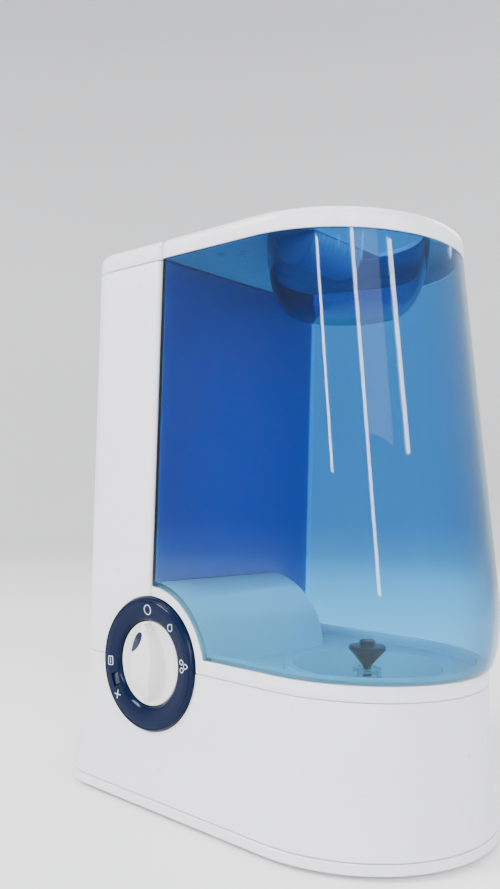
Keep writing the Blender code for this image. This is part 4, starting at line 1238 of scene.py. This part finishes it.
class HUMIDIFIER_OT_inner_parts(bpy.types.Operator):
    """Gives the parts that keep their shape the finish of their material"""

    bl_idname = "humidifier.inner_parts"
    bl_label = "Inner parts"

    def execute(self, context):
        slots = {part["node"]: part["material_slot"] for part in frame["record"]["subparts"]}
        for name, node in frame["nodes"].items():
            finish = finish_named(SLOT_FINISH[slots[name]])
            if not node.material_slots:
                node.data.materials.append(finish)
            for slot in node.material_slots:
                slot.material = finish
        return {"FINISHED"}


# Stage --------------------------------------------------------------------------------------

CAMERA_TURN, CAMERA_RISE, CAMERA_ROLL = radians(41.62), radians(3.5), radians(1.53)
# Name, place, width, height and power of each lamp
LAMPS = (("key", (-0.85, -1.25, 1.30), 0.6, 0.6, 44.0), ("fill", (1.60, -0.95, 1.05), 0.8, 0.8, 6.0),
         ("back", (0.15, 1.50, 1.30), 1.2, 0.7, 20.0), ("top", (0.0, 0.0, 2.2), 1.6, 1.6, 26.0),
         ("strip_near", (0.62, -0.52, 0.42), 0.035, 0.60, 3.2),
         ("strip_far", (0.80, -0.12, 0.52), 0.05, 0.30, 2.4),
         ("strip_low", (0.30, -0.78, 0.46), 0.03, 0.34, 1.8))


def aimed(made, place, target):
    made.location = place
    made.rotation_euler = (Vector(target) - Vector(place)).to_track_quat("-Z", "Y").to_euler()


class HUMIDIFIER_OT_stage(bpy.types.Operator):
    """Sets up the camera, the pale floor and the soft light"""

    bl_idname = "humidifier.stage"
    bl_label = "Stage"

    def execute(self, context):
        stage = context.scene.humidifier_stage
        self.camera(context, stage)
        self.floor(stage)
        for name, place, width, height, power in LAMPS:
            lamp = bpy.data.lights.new(name, "AREA")
            lamp.shape = "RECTANGLE"
            lamp.size, lamp.size_y = width, height
            lamp.energy = power * stage.light
            made = bpy.data.objects.new(name, lamp)
            context.collection.objects.link(made)
            aimed(made, place, (0.0, 0.0, 0.17))
        world = bpy.data.worlds.new("Studio")
        world.use_nodes = True
        sky = world.node_tree.nodes["Background"]
        sky.inputs["Color"].default_value = (0.92, 0.94, 0.97, 1.0)
        sky.inputs["Strength"].default_value = 0.6 * stage.light
        context.scene.world = world
        return {"FINISHED"}

    def camera(self, context, stage):
        a, b, r = CAMERA_TURN, CAMERA_RISE, CAMERA_ROLL
        ahead = Vector((-sin(a) * cos(b), cos(a) * cos(b), sin(b)))
        level = Vector((cos(a), sin(a), 0.0))
        above = level.cross(ahead)
        side = level * cos(r) + above * sin(r)
        upright = above * cos(r) - level * sin(r)
        lens = bpy.data.cameras.new("view")
        lens.lens, lens.sensor_width = stage.lens, 36.0
        lens.clip_start, lens.clip_end = 0.01, 20.0
        view = bpy.data.objects.new("view", lens)
        context.collection.objects.link(view)
        turn = Matrix((side, upright, -ahead)).transposed().to_4x4()
        view.matrix_world = Matrix.Translation(stage.camera) @ turn
        context.scene.camera = view

    def floor(self, stage):
        """A round floor that bends up softly into an even backdrop."""
        profile = [(0.3, 0.0), (1.0, 0.0), (2.0, 0.0)]
        profile += [(2.0 + sin(pi / 2 * i / 16), 1.0 - cos(pi / 2 * i / 16)) for i in range(1, 17)]
        profile.append((3.0, 3.2))
        steps = 96
        points = [(0.0, 0.0, 0.0)]
        for radius, height in profile:
            points += [(x, y, height / MM) for x, y, _ in circle((0.0, 0.0), radius / MM, 0.0, steps=steps)]
        faces = [(0, 1 + i, 1 + (i + 1) % steps) for i in range(steps)]
        for row in range(len(profile) - 1):
            here, there = 1 + row * steps, 1 + (row + 1) * steps
            faces += [(here + i, there + i, there + (i + 1) % steps, here + (i + 1) % steps)
                      for i in range(steps)]
        make_object("floor", points, faces, plastic("Studio Floor", stage.floor, (0.55, 0.65),
                                                             grain=0.0, wave=0.0, amount=0.05))


# Add-on -------------------------------------------------------------------------------------

STEPS = (HUMIDIFIER_OT_stage, HUMIDIFIER_OT_base, HUMIDIFIER_OT_tray, HUMIDIFIER_OT_tower,
         HUMIDIFIER_OT_outlet, HUMIDIFIER_OT_tank, HUMIDIFIER_OT_tank_top, HUMIDIFIER_OT_filler,
         HUMIDIFIER_OT_dial, HUMIDIFIER_OT_knob, HUMIDIFIER_OT_fasteners, HUMIDIFIER_OT_inner_parts)


class HUMIDIFIER_PT_panel(bpy.types.Panel):
    """Lists the build steps and the settings"""

    bl_idname = "HUMIDIFIER_PT_panel"
    bl_label = "Steam humidifier"
    bl_space_type = "VIEW_3D"
    bl_region_type = "UI"
    bl_category = "Humidifier"

    def draw(self, context):
        column = self.layout.column(align=True)
        for step in STEPS:
            column.operator(step.bl_idname)
        for group in (context.scene.humidifier_sizes, context.scene.humidifier_colours,
                      context.scene.humidifier_stage):
            part = self.layout.column()
            for name in group.__annotations__:
                part.prop(group, name)


GROUPS = {"humidifier_sizes": HumidifierSizes, "humidifier_colours": HumidifierColours,
          "humidifier_stage": HumidifierStage}


def register():
    for kind in (*GROUPS.values(), *STEPS, HUMIDIFIER_PT_panel):
        bpy.utils.register_class(kind)
    for name, kind in GROUPS.items():
        setattr(bpy.types.Scene, name, PointerProperty(type=kind))


def unregister():
    for name in GROUPS:
        delattr(bpy.types.Scene, name)
    for kind in (HUMIDIFIER_PT_panel, *reversed(STEPS), *GROUPS.values()):
        bpy.utils.unregister_class(kind)


def main():
    register()
    bpy.ops.humidifier.stage()
    bpy.ops.humidifier.base()
    bpy.ops.humidifier.tray()
    bpy.ops.humidifier.tower()
    bpy.ops.humidifier.outlet()
    bpy.ops.humidifier.tank()
    bpy.ops.humidifier.tank_top()
    bpy.ops.humidifier.filler()
    bpy.ops.humidifier.dial()
    bpy.ops.humidifier.knob()
    bpy.ops.humidifier.fasteners()
    bpy.ops.humidifier.inner_parts()


if __name__ == "__main__":
    main()
